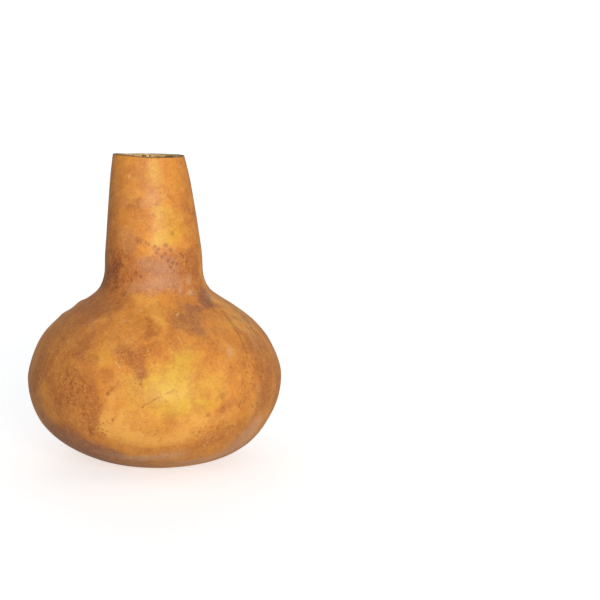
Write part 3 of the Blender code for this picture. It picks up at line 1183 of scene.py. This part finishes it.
    def lobes(self, bearings: Array, heights: Array) -> Array:
        """The share by which the radius differs from the turned outline's.

        Args:
            bearings: each point's bearing, in radians.
            heights: each point's height.

        Returns:
            The share at each point.
        """
        belly = smooth_step(heights, *self.belly_lobes_come) * (1 - smooth_step(heights, *self.belly_lobes_go))
        round_belly = self.two_lobes * np.sin(2 * bearings) + self.three_lobes * np.sin(3 * bearings)
        oval = self.mouth_oval * np.sin(2 * bearings + self.mouth_oval_bearing)
        return belly * round_belly + smooth_step(heights, self.mouth_oval_comes_from, self.height) * oval

    def ground_flat(self, radii: Array, bearings: Array, heights: Array) -> Array:
        """How far the ground pressed the belly in.

        Args:
            radii: each point's radius.
            bearings: its bearing, in radians.
            heights: its height.

        Returns:
            The depth at each point.
        """
        flat_x = self.belly_radius * math.cos(self.ground_flat_bearing)
        flat_y = self.belly_radius * math.sin(self.ground_flat_bearing)
        across = (radii * np.cos(bearings) - flat_x) ** 2 + (radii * np.sin(bearings) - flat_y) ** 2
        squares = across + (heights - self.ground_flat_height) ** 2
        return self.ground_flat_depth * np.exp(-squares / self.ground_flat_spread**2)

    def grown(self, radii: Array, heights: Array, skin_radii: Array, skin_heights: Array, bearings: Array) -> Array:
        """Places points on the uneven gourd.

        Args:
            radii: each point's own radius on the turned outline.
            heights: each point's own height.
            skin_radii: the radius of the skin outside it, which sets how it is moved.
            skin_heights: the height of the skin outside it.
            bearings: each point's bearing, in radians.

        Returns:
            The points, as an array with X, Y and Z last.
        """
        moved = skin_radii * self.lobes(bearings, skin_heights)
        moved = moved - self.ground_flat(skin_radii, bearings, skin_heights)
        radius = np.where(skin_radii > self.rest_radius, radii + moved, radii)
        middle_x, middle_y = self.middle(skin_heights)
        wave = np.sin(2 * bearings + self.cut_wave_bearing)
        wave = wave + self.cut_ripple_share * np.sin(self.cut_ripples * bearings)
        cut = self.cut_tilt * np.cos(bearings - self.cut_tilt_bearing) + self.cut_wave * wave
        lift = cut * smooth_step(skin_heights, self.height - self.cut_wave_depth, self.height)
        x = middle_x + radius * np.cos(bearings)
        y = middle_y + radius * np.sin(bearings)
        return np.stack([x, y, heights + lift + 0 * bearings], -1)

    def on_skin(self, bearing: float, height: float) -> Array:
        """Finds a point of the skin.

        Args:
            bearing: its bearing, in degrees.
            height: its height on the turned outline, in metres.

        Returns:
            Its X, Y and Z.
        """
        radii, heights = self.side(self.samples)
        at = np.array([np.interp(height, heights, radii)]), np.array([height])
        return self.grown(*at, *at, np.radians([bearing]))[0]


def clouds(points: Array, size: float, shift: float, layers: int = 3) -> Array:
    """Smooth noise at each point, from about -1 to 1.

    Args:
        points: the places, in metres.
        size: how large the clouds are, in metres.
        shift: a number that picks one pattern among many.
        layers: how many finer layers it has.

    Returns:
        One number for each point.
    """
    places = points.reshape(-1, 3) / size + shift
    return np.array([noise.fractal(Vector(p), 1.0, 2.0, layers) for p in places]).reshape(points.shape[:-1])


@dataclass(frozen=True)
class Rings:
    """The shell's rings, from the resting spot's middle out, up, over the lip and down the inside.

    Attributes:
        radii: each ring's own radius.
        heights: its own height.
        skin_radii: the radius of the skin outside it.
        skin_heights: the height of the skin outside it.
        zones: the surface that each ring belongs to, as a Zone's value.
        from_skin: how far in from the skin it is, on the cut.
    """

    radii: Array
    heights: Array
    skin_radii: Array
    skin_heights: Array
    zones: Array
    from_skin: Array


@dataclass
class GourdShell:
    """The gourd's shell as one closed mesh, with its relief, stains and marks, and patches of painted shade and
    light. Lengths are in metres.

    Attributes:
        outline: the form that the relief is laid on.
        sides: how many points each ring has.
        spot_rings: how many rings cross the resting spot, and the floor of the hollow above it.
        side_rings: how many go up the outside.
        cut_rings: how many cross the cut.
        inside_rings: how many go down the inside.
        arris_rings: how many steps round each of the cut's corners.
        outer_arris: the rounding of the cut's outer corner.
        inner_arris: the rounding of its inner corner.
        holding_rings: how far below the outer corner extra rings keep the skin's shading true.
        swell: how far the skin swells, and over what size.
        dimple: how deep its dimples are, and how large.
        relief_off_table: the heights between which the relief comes in.
        blossom_scar: the radius and depth of the scar under the gourd.
        lumps: the low bumps on the shoulder.
        lump_fades: where a bump ends, in shares of its size.
        scar_depth: how deep the scar lines are.
        scar_spread: how far they spread, in shares of their width.
        chips: the bearing, width and depth of each chip in the cut's outer corner.
        chips_reach: how far in from the skin the chips start to fade, and where they end.
        pith_depth: how high the lining's lumps stand, clear of the lip.
        pith_at_lip: the share of that height at the lip, and how far down the rest comes in.
        lump_size: how large the lining's lumps are.
        fibre_size: how thick its fibres are, and how much shorter the pattern is up and down.
        crevices_between: the levels of the pattern between which a lump falls to a crevice.
        saw_marks: how rough the cut is, at what size, and how far it is sunk.
        edges_warped: how far the edges of the stains, and of the painted shade and light, wander, as size, reach and
            shift of each layer of wandering.
        soft_between: the shares of a patch's size between which it fades.
        fibre_radius: how far round the skin's fibre pattern reaches.
        fibre_stretch: how much the fibre pattern is stretched up the skin.
    """

    outline: Outline = field(default_factory=Outline)
    sides: int = 256
    spot_rings: int = 14
    side_rings: int = 196
    cut_rings: int = 14
    inside_rings: int = 100
    arris_rings: int = 4
    outer_arris: float = 0.00018
    inner_arris: float = 0.0009
    holding_rings: tuple[float, ...] = (0.0010, 0.0005, 0.0002)
    swell: tuple[float, float] = (0.00035, 0.050)
    dimple: tuple[float, float] = (0.00010, 0.011)
    relief_off_table: tuple[float, float] = (0.001, 0.014)
    blossom_scar: tuple[float, float] = (0.007, 0.0007)
    lumps: tuple[Patch, ...] = (
        Patch(170, 0.124, 0.006, 0.0045, 0, 0.0009),
        Patch(171, 0.115, 0.005, 0.0040, 0, 0.0006),
        Patch(-166, 0.119, 0.007, 0.0050, 20, 0.0004),
    )
    lump_fades: float = 1.6
    scar_depth: float = 0.00014
    scar_spread: float = 2.5
    chips: tuple[tuple[float, float, float], ...] = (
        (-91, 0.0016, 0.0003),
        (-118, 0.0022, 0.0002),
        (-48, 0.0026, 0.0002),
        (22, 0.0018, 0.0005),
        (95, 0.0030, 0.0004),
        (150, 0.0016, 0.0005),
    )
    chips_reach: tuple[float, float] = (0.0003, 0.0022)
    pith_depth: float = 0.0011
    pith_at_lip: tuple[float, float] = (0.25, 0.0022)
    lump_size: float = 0.0038
    fibre_size: tuple[float, float] = (0.0022, 0.35)
    crevices_between: tuple[float, float] = (0.45, -0.45)
    saw_marks: tuple[float, float, float] = (0.00012, 0.0016, 0.0001)
    edges_warped: tuple[tuple[float, float, int], ...] = ((0.030, 0.0060, 0), (0.009, 0.0022, 5))
    soft_between: tuple[float, float] = (0.25, 1.35)
    fibre_radius: float = 0.070
    fibre_stretch: float = 0.09

    def build(self) -> bpy.types.Object:
        """Builds the shell's mesh.

        Returns:
            The shell, linked to the scene.
        """
        rings = self._rings()
        bearings = np.radians(-90) + np.linspace(0, 2 * math.pi, self.sides, endpoint=False)[None, :]
        columns = [c[:, None] for c in (rings.radii, rings.heights, rings.skin_radii, rings.skin_heights)]
        points = self.outline.grown(*columns, bearings)
        sunk = self._crevices(points, rings)
        points = self._with_relief(points, rings, sunk)
        points = self._in_box(points)
        LOG.info("gourd: %d rings of %d points", len(rings.radii), self.sides)
        mesh = self._mesh(points, rings)
        self._note_stains(mesh, points, rings)
        self._note_depths(mesh, rings, sunk)
        self._note_way_up(mesh, rings)
        self._note_marks(mesh)
        shell = bpy.data.objects.new("gourd", mesh)
        bpy.context.scene.collection.objects.link(shell)
        return shell

    def dress(self, shell: bpy.types.Object) -> None:
        """Gives each of the shell's surfaces its finish."""
        for finish in (WaxySkin(), SawnEdge(), DryLining()):
            shell.data.materials.append(finish.material())

    def _rings(self) -> Rings:
        """Lays out the rings along the outline.

        Returns:
            The rings, from the resting spot's middle to the middle of the hollow's floor.
        """
        line = self.outline
        spot = np.linspace(0, line.rest_radius, self.spot_rings, endpoint=False)
        side_radii, side_heights = line.side(self.side_rings)
        inside = line.inside(self.inside_rings)
        width = line.mouth_radius - inside[0][0]
        bend = np.linspace(0, math.pi / 2, self.arris_rings, endpoint=False)[1:]
        outer = self.outer_arris * (1 - np.cos(bend)), self.outer_arris * (np.sin(bend) - 1)
        flat = np.linspace(self.outer_arris, width - self.inner_arris, self.cut_rings)
        inner = width - self.inner_arris * (1 - np.sin(bend)), self.inner_arris * (np.cos(bend) - 1)
        inward = np.concatenate([outer[0], flat, inner[0]])
        drop = np.concatenate([outer[1], 0 * flat, inner[1]])
        holding = line.height - self.outer_arris - np.array(self.holding_rings)
        below = side_heights < holding[0]
        side_radii = np.append(side_radii[below], np.interp(holding, side_heights, side_radii))
        side_heights = np.append(side_heights[below], holding)
        hollow = [column[inside[1] < line.height - self.inner_arris] for column in inside]
        floor = np.linspace(line.rest_radius, 0, self.spot_rings + 1)[1:]
        lip = 0 * inward + line.mouth_radius, 0 * inward + line.height
        level = 0 * floor + hollow[1][-1]
        # One row for each run: radii, heights, the skin's radii and heights, how far in from the skin, and the zone
        runs = (
            (spot, 0 * spot, spot, 0 * spot, 0 * spot, Zone.SKIN),
            (side_radii, side_heights, side_radii, side_heights, 0 * side_radii, Zone.SKIN),
            (line.mouth_radius - inward, line.height + drop, *lip, inward, Zone.CUT),
            (*hollow, 0 * hollow[0] + width, Zone.LINING),
            (hollow[0][-1] * floor / line.rest_radius, level, floor, 0 * floor, 0 * floor + width, Zone.LINING),
        )
        *columns, _ = zip(*runs)
        radii, heights, skin_radii, skin_heights, from_skin = (np.concatenate(column) for column in columns)
        zones = np.concatenate([np.full(len(run[0]), run[-1].value) for run in runs])
        return Rings(radii, heights, skin_radii, skin_heights, zones, from_skin)

    def _crevices(self, points: Array, rings: Rings) -> Array:
        """How deep in the lining's crevices each point is.

        Args:
            points: the smooth shell's points.
            rings: the rings they are on.

        Returns:
            One number for each point, from 0 on the lumps' tops, and off the lining, to 1.
        """
        lumpy = clouds(points, self.lump_size, Seed.LUMPS.value, 4)
        fibrous = clouds(points * (1.0, 1.0, self.fibre_size[1]), self.fibre_size[0], Seed.FIBRES.value, 3)
        sunk = smooth_step(lumpy * 0.65 + fibrous * 0.5, *self.crevices_between)
        return np.where(rings.zones[:, None] == Zone.LINING.value, sunk, 0.0)

    def _with_relief(self, points: Array, rings: Rings, sunk: Array) -> Array:
        """Moves the points along their normals.

        Args:
            points: the smooth shell's points.
            rings: the rings they are on.
            sunk: how deep in the lining's crevices each is.

        Returns:
            The moved points.
        """
        along = np.gradient(points, axis=0)
        round_ = np.roll(points, -1, 1) - np.roll(points, 1, 1)
        normals = np.cross(round_, along)
        normals /= np.maximum(np.linalg.norm(normals, axis=-1, keepdims=True), TINY)
        normals[0], normals[-1] = (0, 0, -1), (0, 0, 1)
        rough, size, sunk_cut = self.saw_marks
        relief = {
            Zone.SKIN: self._skin_relief(points, rings),
            Zone.CUT: rough * clouds(points, size, Seed.SAW.value, 3) - sunk_cut,
            Zone.LINING: self._pith(rings, sunk),
        }
        raised = np.zeros(points.shape[:-1])
        for zone, height in relief.items():
            raised = np.where(rings.zones[:, None] == zone.value, height, raised)
        moved = points + normals * raised[..., None]
        moved[..., 2] -= self._chipped(points, rings)
        moved[..., 2] = np.maximum(moved[..., 2], 0.0)
        return moved

    def _skin_relief(self, points: Array, rings: Rings) -> Array:
        """How far the skin stands out from the smooth outline.

        Args:
            points: the smooth shell's points.
            rings: the rings they are on.

        Returns:
            The height at each point.
        """
        off_table = smooth_step(rings.skin_heights, *self.relief_off_table)[:, None]
        swelling = self.swell[0] * clouds(points, self.swell[1], Seed.SWELL.value, 2)
        dimpled = self.dimple[0] * clouds(points, self.dimple[1], Seed.DIMPLES.value, 3)
        raised = (swelling + dimpled) * off_table
        for lump in self.lumps:
            raised = raised + lump.depth * (1 - smooth_step(self._away(points, lump), 0.0, self.lump_fades))
        radius, depth = self.blossom_scar
        blossom = depth * (1 - smooth_step(rings.radii, 0.0, radius))[:, None]
        return raised - self.scar_depth * self._near_scar(points) - blossom

    def _pith(self, rings: Rings, sunk: Array) -> Array:
        """How far the lining's lumps stand out, which is less at the lip.

        Args:
            rings: the rings.
            sunk: how deep in the lining's crevices each point is.

        Returns:
            The height at each point.
        """
        at_lip, fade = self.pith_at_lip
        clear_of_lip = smooth_step(self.outline.height - rings.heights, 0.0, fade)[:, None]
        return self.pith_depth * (1 - sunk) * (at_lip + (1 - at_lip) * clear_of_lip)

    def _away(self, points: Array, patch: Patch) -> Array:
        """How far each point is from a patch's middle, in shares of the patch's half size.

        Args:
            points: the places.
            patch: the patch.

        Returns:
            One number for each point: 0 in the middle and 1 at the edge.
        """
        middle = self.outline.on_skin(patch.bearing, patch.height)
        turn = math.radians(patch.turn)
        bearing = math.radians(patch.bearing)
        east = np.array([-math.sin(bearing), math.cos(bearing), 0.0])
        above = self.outline.on_skin(patch.bearing, patch.height + NUDGE)
        north = (above - middle) / np.linalg.norm(above - middle)
        offset = points - middle
        across = offset @ east
        up = offset @ north
        wide = (across * math.cos(turn) + up * math.sin(turn)) / patch.wide
        tall = (up * math.cos(turn) - across * math.sin(turn)) / patch.tall
        deep = offset @ np.cross(east, north) / (patch.wide + patch.tall)
        return np.sqrt(wide**2 + tall**2 + deep**2)

    def _near_scar(self, points: Array) -> Array:
        """How near each point is to a scar line.

        Args:
            points: the places.

        Returns:
            One number for each point: 1 on the scars and 0 a millimetre or two off them.
        """
        near = np.zeros(points.shape[:-1])
        for scar in MARKS[Mark.SCAR]:
            start = self.outline.on_skin(*scar.start)
            along = self.outline.on_skin(*scar.end) - start
            share = np.clip((points - start) @ along / (along @ along), 0, 1)
            away = np.linalg.norm(points - start - share[..., None] * along, axis=-1)
            near = np.maximum(near, np.exp(-((away / (self.scar_spread * scar.reach)) ** 2)))
        return near

    def _chipped(self, points: Array, rings: Rings) -> Array:
        """How far down the chips take the cut's outer corner.

        Args:
            points: the smooth shell's points.
            rings: the rings they are on.

        Returns:
            The drop at each point.
        """
        outer = np.where(rings.zones == Zone.CUT.value, 1 - smooth_step(rings.from_skin, *self.chips_reach), 0.0)
        low = np.zeros(points.shape[:-1])
        for bearing, width, depth in self.chips:
            middle = self.outline.on_skin(bearing, self.outline.height)
            away = np.linalg.norm((points - middle)[..., :2], axis=-1)
            low = low + depth * np.exp(-((away / width) ** 2))
        return low * outer[:, None]

    def _in_box(self, points: Array) -> Array:
        """Fits the shell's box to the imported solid's.

        Args:
            points: the shell's points.

        Returns:
            The fitted points.
        """
        low, high = (np.array(corner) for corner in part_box(NODE))
        own_low, own_high = points.min((0, 1)), points.max((0, 1))
        return low + (points - own_low) * (high - low) / (own_high - own_low)

    def _mesh(self, points: Array, rings: Rings) -> bpy.types.Mesh:
        """Joins the rings into one closed mesh with a point at each end.

        Args:
            points: the shell's points, by ring and bearing.
            rings: the rings.

        Returns:
            The mesh.
        """
        count = len(points)
        grid = 1 + np.arange((count - 2) * self.sides).reshape(count - 2, self.sides)
        last = 1 + grid.size
        places = self._flat(points)
        after = np.roll(grid, -1, 1)
        quads = np.stack([grid[:-1], after[:-1], after[1:], grid[1:]], -1).reshape(-1, 4)
        first_fan = [(0, int(b), int(a)) for a, b in zip(grid[0], after[0])]
        last_fan = [(last, int(a), int(b)) for a, b in zip(grid[-1], after[-1])]
        mesh = bpy.data.meshes.new("gourd")
        mesh.from_pydata(places.tolist(), [], first_fan + quads.tolist() + last_fan)
        zones = np.maximum(rings.zones[1:-2], rings.zones[2:-1])
        by_face = [np.full(self.sides, Zone.SKIN.value), np.repeat(zones, self.sides)]
        by_face.append(np.full(self.sides, Zone.LINING.value))
        mesh.polygons.foreach_set("material_index", np.concatenate(by_face).astype(np.int32))
        mesh.polygons.foreach_set("use_smooth", np.ones(len(mesh.polygons), bool))
        mesh.update()
        return mesh

    def _flat(self, by_point: Array) -> Array:
        """A table by ring and bearing as one row for each point of the mesh."""
        rows = by_point[1:-1].reshape(-1, *by_point.shape[2:])
        return np.concatenate([by_point[:1, 0], rows, by_point[-1:, 0]])

    def _note(self, mesh: bpy.types.Mesh, name: str, rows: Array, domain: str = "POINT") -> None:
        """Keeps a number or a vector for each point or face of the mesh.

        Args:
            mesh: the shell's mesh.
            name: the attribute's name.
            rows: a number or a vector for each.
            domain: POINT or FACE.
        """
        vectors = rows.ndim > 1
        kept = mesh.attributes.new(name, "FLOAT_VECTOR" if vectors else "FLOAT", domain)
        kept.data.foreach_set("vector" if vectors else "value", rows.astype(np.float32).ravel())

    def _note_stains(self, mesh: bpy.types.Mesh, points: Array, rings: Rings) -> None:
        """Keeps how strong each kind of patch is at each point: the stains, and the painted shade and light among
        them.

        Args:
            mesh: the shell's mesh.
            points: its points.
            rings: the rings they are on.
        """
        pushes = []
        for seed in (Seed.EDGES_X, Seed.EDGES_Y, Seed.EDGES_Z):
            layers = (clouds(points, size, seed.value + shift, 2) * reach for size, reach, shift in self.edges_warped)
            pushes.append(sum(layers))
        warped = points + np.stack(pushes, -1)
        skin = (rings.zones == Zone.SKIN.value)[:, None]
        for stain, its_patches in STAINS.items():
            bare = np.ones(points.shape[:-1])
            for patch in its_patches:
                bare *= 1 - patch.depth * (1 - smooth_step(self._away(warped, patch), *self.soft_between))
            self._note(mesh, stain.value, self._flat(np.where(skin, 1 - bare, 0.0)))

    def _note_depths(self, mesh: bpy.types.Mesh, rings: Rings, sunk: Array) -> None:
        """Keeps what the cut and the lining need: crevices, and distances from the skin and the mouth.

        Args:
            mesh: the shell's mesh.
            rings: the rings.
            sunk: how deep in the lining's crevices each point is.
        """
        even = np.ones(self.sides)
        self._note(mesh, "crevice", self._flat(sunk))
        self._note(mesh, "from_skin", self._flat(rings.from_skin[:, None] * even))
        self._note(mesh, "from_mouth", self._flat((self.outline.height - rings.heights)[:, None] * even))

    def _note_way_up(self, mesh: bpy.types.Mesh, rings: Rings) -> None:
        """Keeps coordinates that run round the gourd and up its skin, for fibres that follow the skin.

        Args:
            mesh: the shell's mesh.
            rings: the rings.
        """
        bearings = np.linspace(0, 2 * math.pi, self.sides, endpoint=False)
        steps = np.hypot(np.diff(rings.skin_radii, prepend=0), np.diff(rings.skin_heights, prepend=0))
        round_it = np.stack([np.cos(bearings), np.sin(bearings), 0 * bearings], -1) * self.fibre_radius
        up_it = np.cumsum(steps)[:, None, None] * np.array([0.0, 0.0, self.fibre_stretch])
        self._note(mesh, "up_the_skin", self._flat(round_it[None] + up_it))

    def _note_marks(self, mesh: bpy.types.Mesh) -> None:
        """Keeps on each face where the nearest mark of each kind is, so that marks can be finer than the mesh.

        Args:
            mesh: the shell's mesh.
        """
        centres = np.empty(len(mesh.polygons) * 3, np.float32)
        mesh.polygons.foreach_get("center", centres)
        centres = centres.reshape(-1, 3).astype(float)
        for kind, marks in MARKS.items():
            nearest = np.full(len(centres), np.inf)
            starts, alongs, inverses = (np.zeros_like(centres) for _ in range(3))
            reaches = np.ones(len(centres))
            for mark in marks:
                start = self.outline.on_skin(*mark.start)
                along = self.outline.on_skin(*(mark.end or mark.start)) - start
                inverse = along / max(along @ along, TINY)
                share = np.clip((centres - start) @ inverse, 0, 1)
                away = np.linalg.norm(centres - start - share[:, None] * along, axis=-1) - mark.reach
                closer = away < nearest
                nearest[closer] = away[closer]
                starts[closer], alongs[closer], inverses[closer] = start, along, inverse
                reaches[closer] = mark.reach
            for name, rows in (("start", starts), ("along", alongs), ("inverse", inverses), ("reach", reaches)):
                self._note(mesh, f"{kind.value}_{name}", rows, "FACE")


@dataclass
class PhotoCamera:
    """The camera, where the photograph's was."""

    place: tuple[float, float, float] = (0.0, -1.300, 0.3407)
    down: float = 9.386
    to_the_right: float = 5.055
    focal_pixels: float = 1666.2
    image_pixels: int = 600
    sensor: float = 36.0

    def build(self) -> bpy.types.Object:
        """Makes the camera and has the scene use it.

        Returns:
            The camera.
        """
        data = bpy.data.cameras.new("camera")
        data.sensor_width = self.sensor
        data.lens = self.sensor * self.focal_pixels / self.image_pixels
        camera = bpy.data.objects.new("camera", data)
        camera.location = self.place
        camera.rotation_euler = Euler((math.radians(90 - self.down), 0.0, math.radians(-self.to_the_right)))
        bpy.context.scene.collection.objects.link(camera)
        bpy.context.scene.camera = camera
        return camera


@dataclass
class Studio:
    """A plain pale floor that curves up all round, a soft key light, a weaker light behind, and a pale room."""

    flat_radius: float = 3.0
    curve_radius: float = 1.2
    top: float = 4.0
    curve_steps: int = 24
    floor_sides: int = 96
    floor_colour: Colour = (0.80, 0.80, 0.80)
    floor_glow: float = 0.60
    key_bearing: float = 14.0
    key_rise: float = 10.0
    key_spread: float = 32.0
    key_strength: float = 2.36
    fill_bearing: float = 180.0
    fill_rise: float = 24.0
    fill_spread: float = 50.0
    fill_strength: float = 0.6
    room_colour: Colour = (0.94, 0.97, 1.0)
    room_light: float = 0.36
    room_light_below: float = 0.34
    room_fades: tuple[float, float] = (-0.25, 0.15)

    def build(self) -> bpy.types.Object:
        """Builds the floor and the lights.

        Returns:
            The floor.
        """
        self._light_room()
        self._add_light("key", self.key_bearing, self.key_rise, self.key_spread, self.key_strength)
        fill = self._add_light("fill", self.fill_bearing, self.fill_rise, self.fill_spread, self.fill_strength)
        fill.visible_glossy = False
        return self._floor()

    def _floor(self) -> bpy.types.Object:
        """Makes a round sheet, flat under the gourd and curved up all round it.

        Returns:
            The floor, linked to the scene.
        """
        bend = np.linspace(0, math.pi / 2, self.curve_steps)
        radii = [*(self.flat_radius + self.curve_radius * np.sin(bend)), self.flat_radius + self.curve_radius]
        heights = [*(self.curve_radius * (1 - np.cos(bend))), self.top]
        turn = np.linspace(0, 2 * math.pi, self.floor_sides, endpoint=False)
        points = [(r * math.cos(t), r * math.sin(t), z) for r, z in zip(radii, heights) for t in turn]
        grid = np.arange(len(points)).reshape(-1, self.floor_sides)
        after = np.roll(grid, -1, 1)
        walls = np.stack([grid[:-1], grid[1:], after[1:], after[:-1]], -1).reshape(-1, 4).tolist()
        faces = [grid[0].tolist(), *walls]
        mesh = bpy.data.meshes.new("floor")
        mesh.from_pydata(points, [], faces)
        mesh.polygons.foreach_set("use_smooth", np.ones(len(faces), bool))
        graph = Graph(bpy.data.materials.new("pale_floor"))
        even = {"Base Color": (*self.floor_colour, 1.0), "Roughness": 0.9, "Specular IOR Level": 0.1}
        glow = {"Emission Color": (*WHITE, 1.0), "Emission Strength": self.floor_glow}
        mesh.materials.append(graph.surface({}, {**even, **glow}))
        floor = bpy.data.objects.new("floor", mesh)
        floor.visible_diffuse = False
        floor.visible_glossy = False
        floor.visible_shadow = False
        bpy.context.scene.collection.objects.link(floor)
        return floor

    def _add_light(
        self, name: str, bearing: float, rise: float, spread: float, strength: float
    ) -> bpy.types.Object:
        """Adds a soft light that comes from far away.

        Args:
            name: what it is called.
            bearing: degrees to the right of the front, seen from above.
            rise: degrees above the floor.
            spread: how wide it looks from the gourd, in degrees. A wider light has softer shadows.
            strength: how strongly it lights a surface that faces it, in watts per square metre.

        Returns:
            The light.
        """
        data = bpy.data.lights.new(name, "SUN")
        data.angle = math.radians(spread)
        data.energy = strength
        light = bpy.data.objects.new(name, data)
        turn, up = math.radians(bearing), math.radians(rise)
        towards = Vector((math.sin(turn) * math.cos(up), -math.cos(turn) * math.cos(up), math.sin(up)))
        light.location = towards
        light.rotation_euler = towards.to_track_quat("Z", "Y").to_euler()
        bpy.context.scene.collection.objects.link(light)
        return light

    def _light_room(self) -> None:
        """The room's own light: even above the floor's level and dimmer below it."""
        graph = Graph(bpy.data.worlds.new("room"))
        generated = graph.node("ShaderNodeTexCoord").outputs["Generated"]
        direction = graph.node("ShaderNodeSeparateXYZ", {}, {0: generated})
        low, high = self.room_fades
        levels = {"Value": direction.outputs["Z"], "From Min": low, "From Max": high}
        levels |= {"To Min": self.room_light_below, "To Max": self.room_light}
        light = graph.node("ShaderNodeMapRange", {}, levels).outputs["Result"]
        background = graph.node("ShaderNodeBackground", {}, {"Strength": light, "Color": (*self.room_colour, 1.0)})
        graph.node("ShaderNodeOutputWorld", {}, {"Surface": background.outputs["Background"]})
        bpy.context.scene.world = graph.owner


def main() -> None:
    """Builds the gourd, the camera and the studio, and keeps the two boxes' sizes."""
    logging.basicConfig(level=logging.INFO, format="%(name)s: %(message)s")
    bpy.context.scene.view_settings.view_transform = "Standard"
    builder = GourdShell()
    gourd = builder.build()
    builder.dress(gourd)
    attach(gourd, BODY)
    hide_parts(NODE)
    LOG.info("gourd: %d faces", len(gourd.data.polygons))
    PhotoCamera().build()
    LOG.info("camera: in place")
    Studio().build()
    LOG.info("floor and lights: in place")


if __name__ == "__main__":
    main()
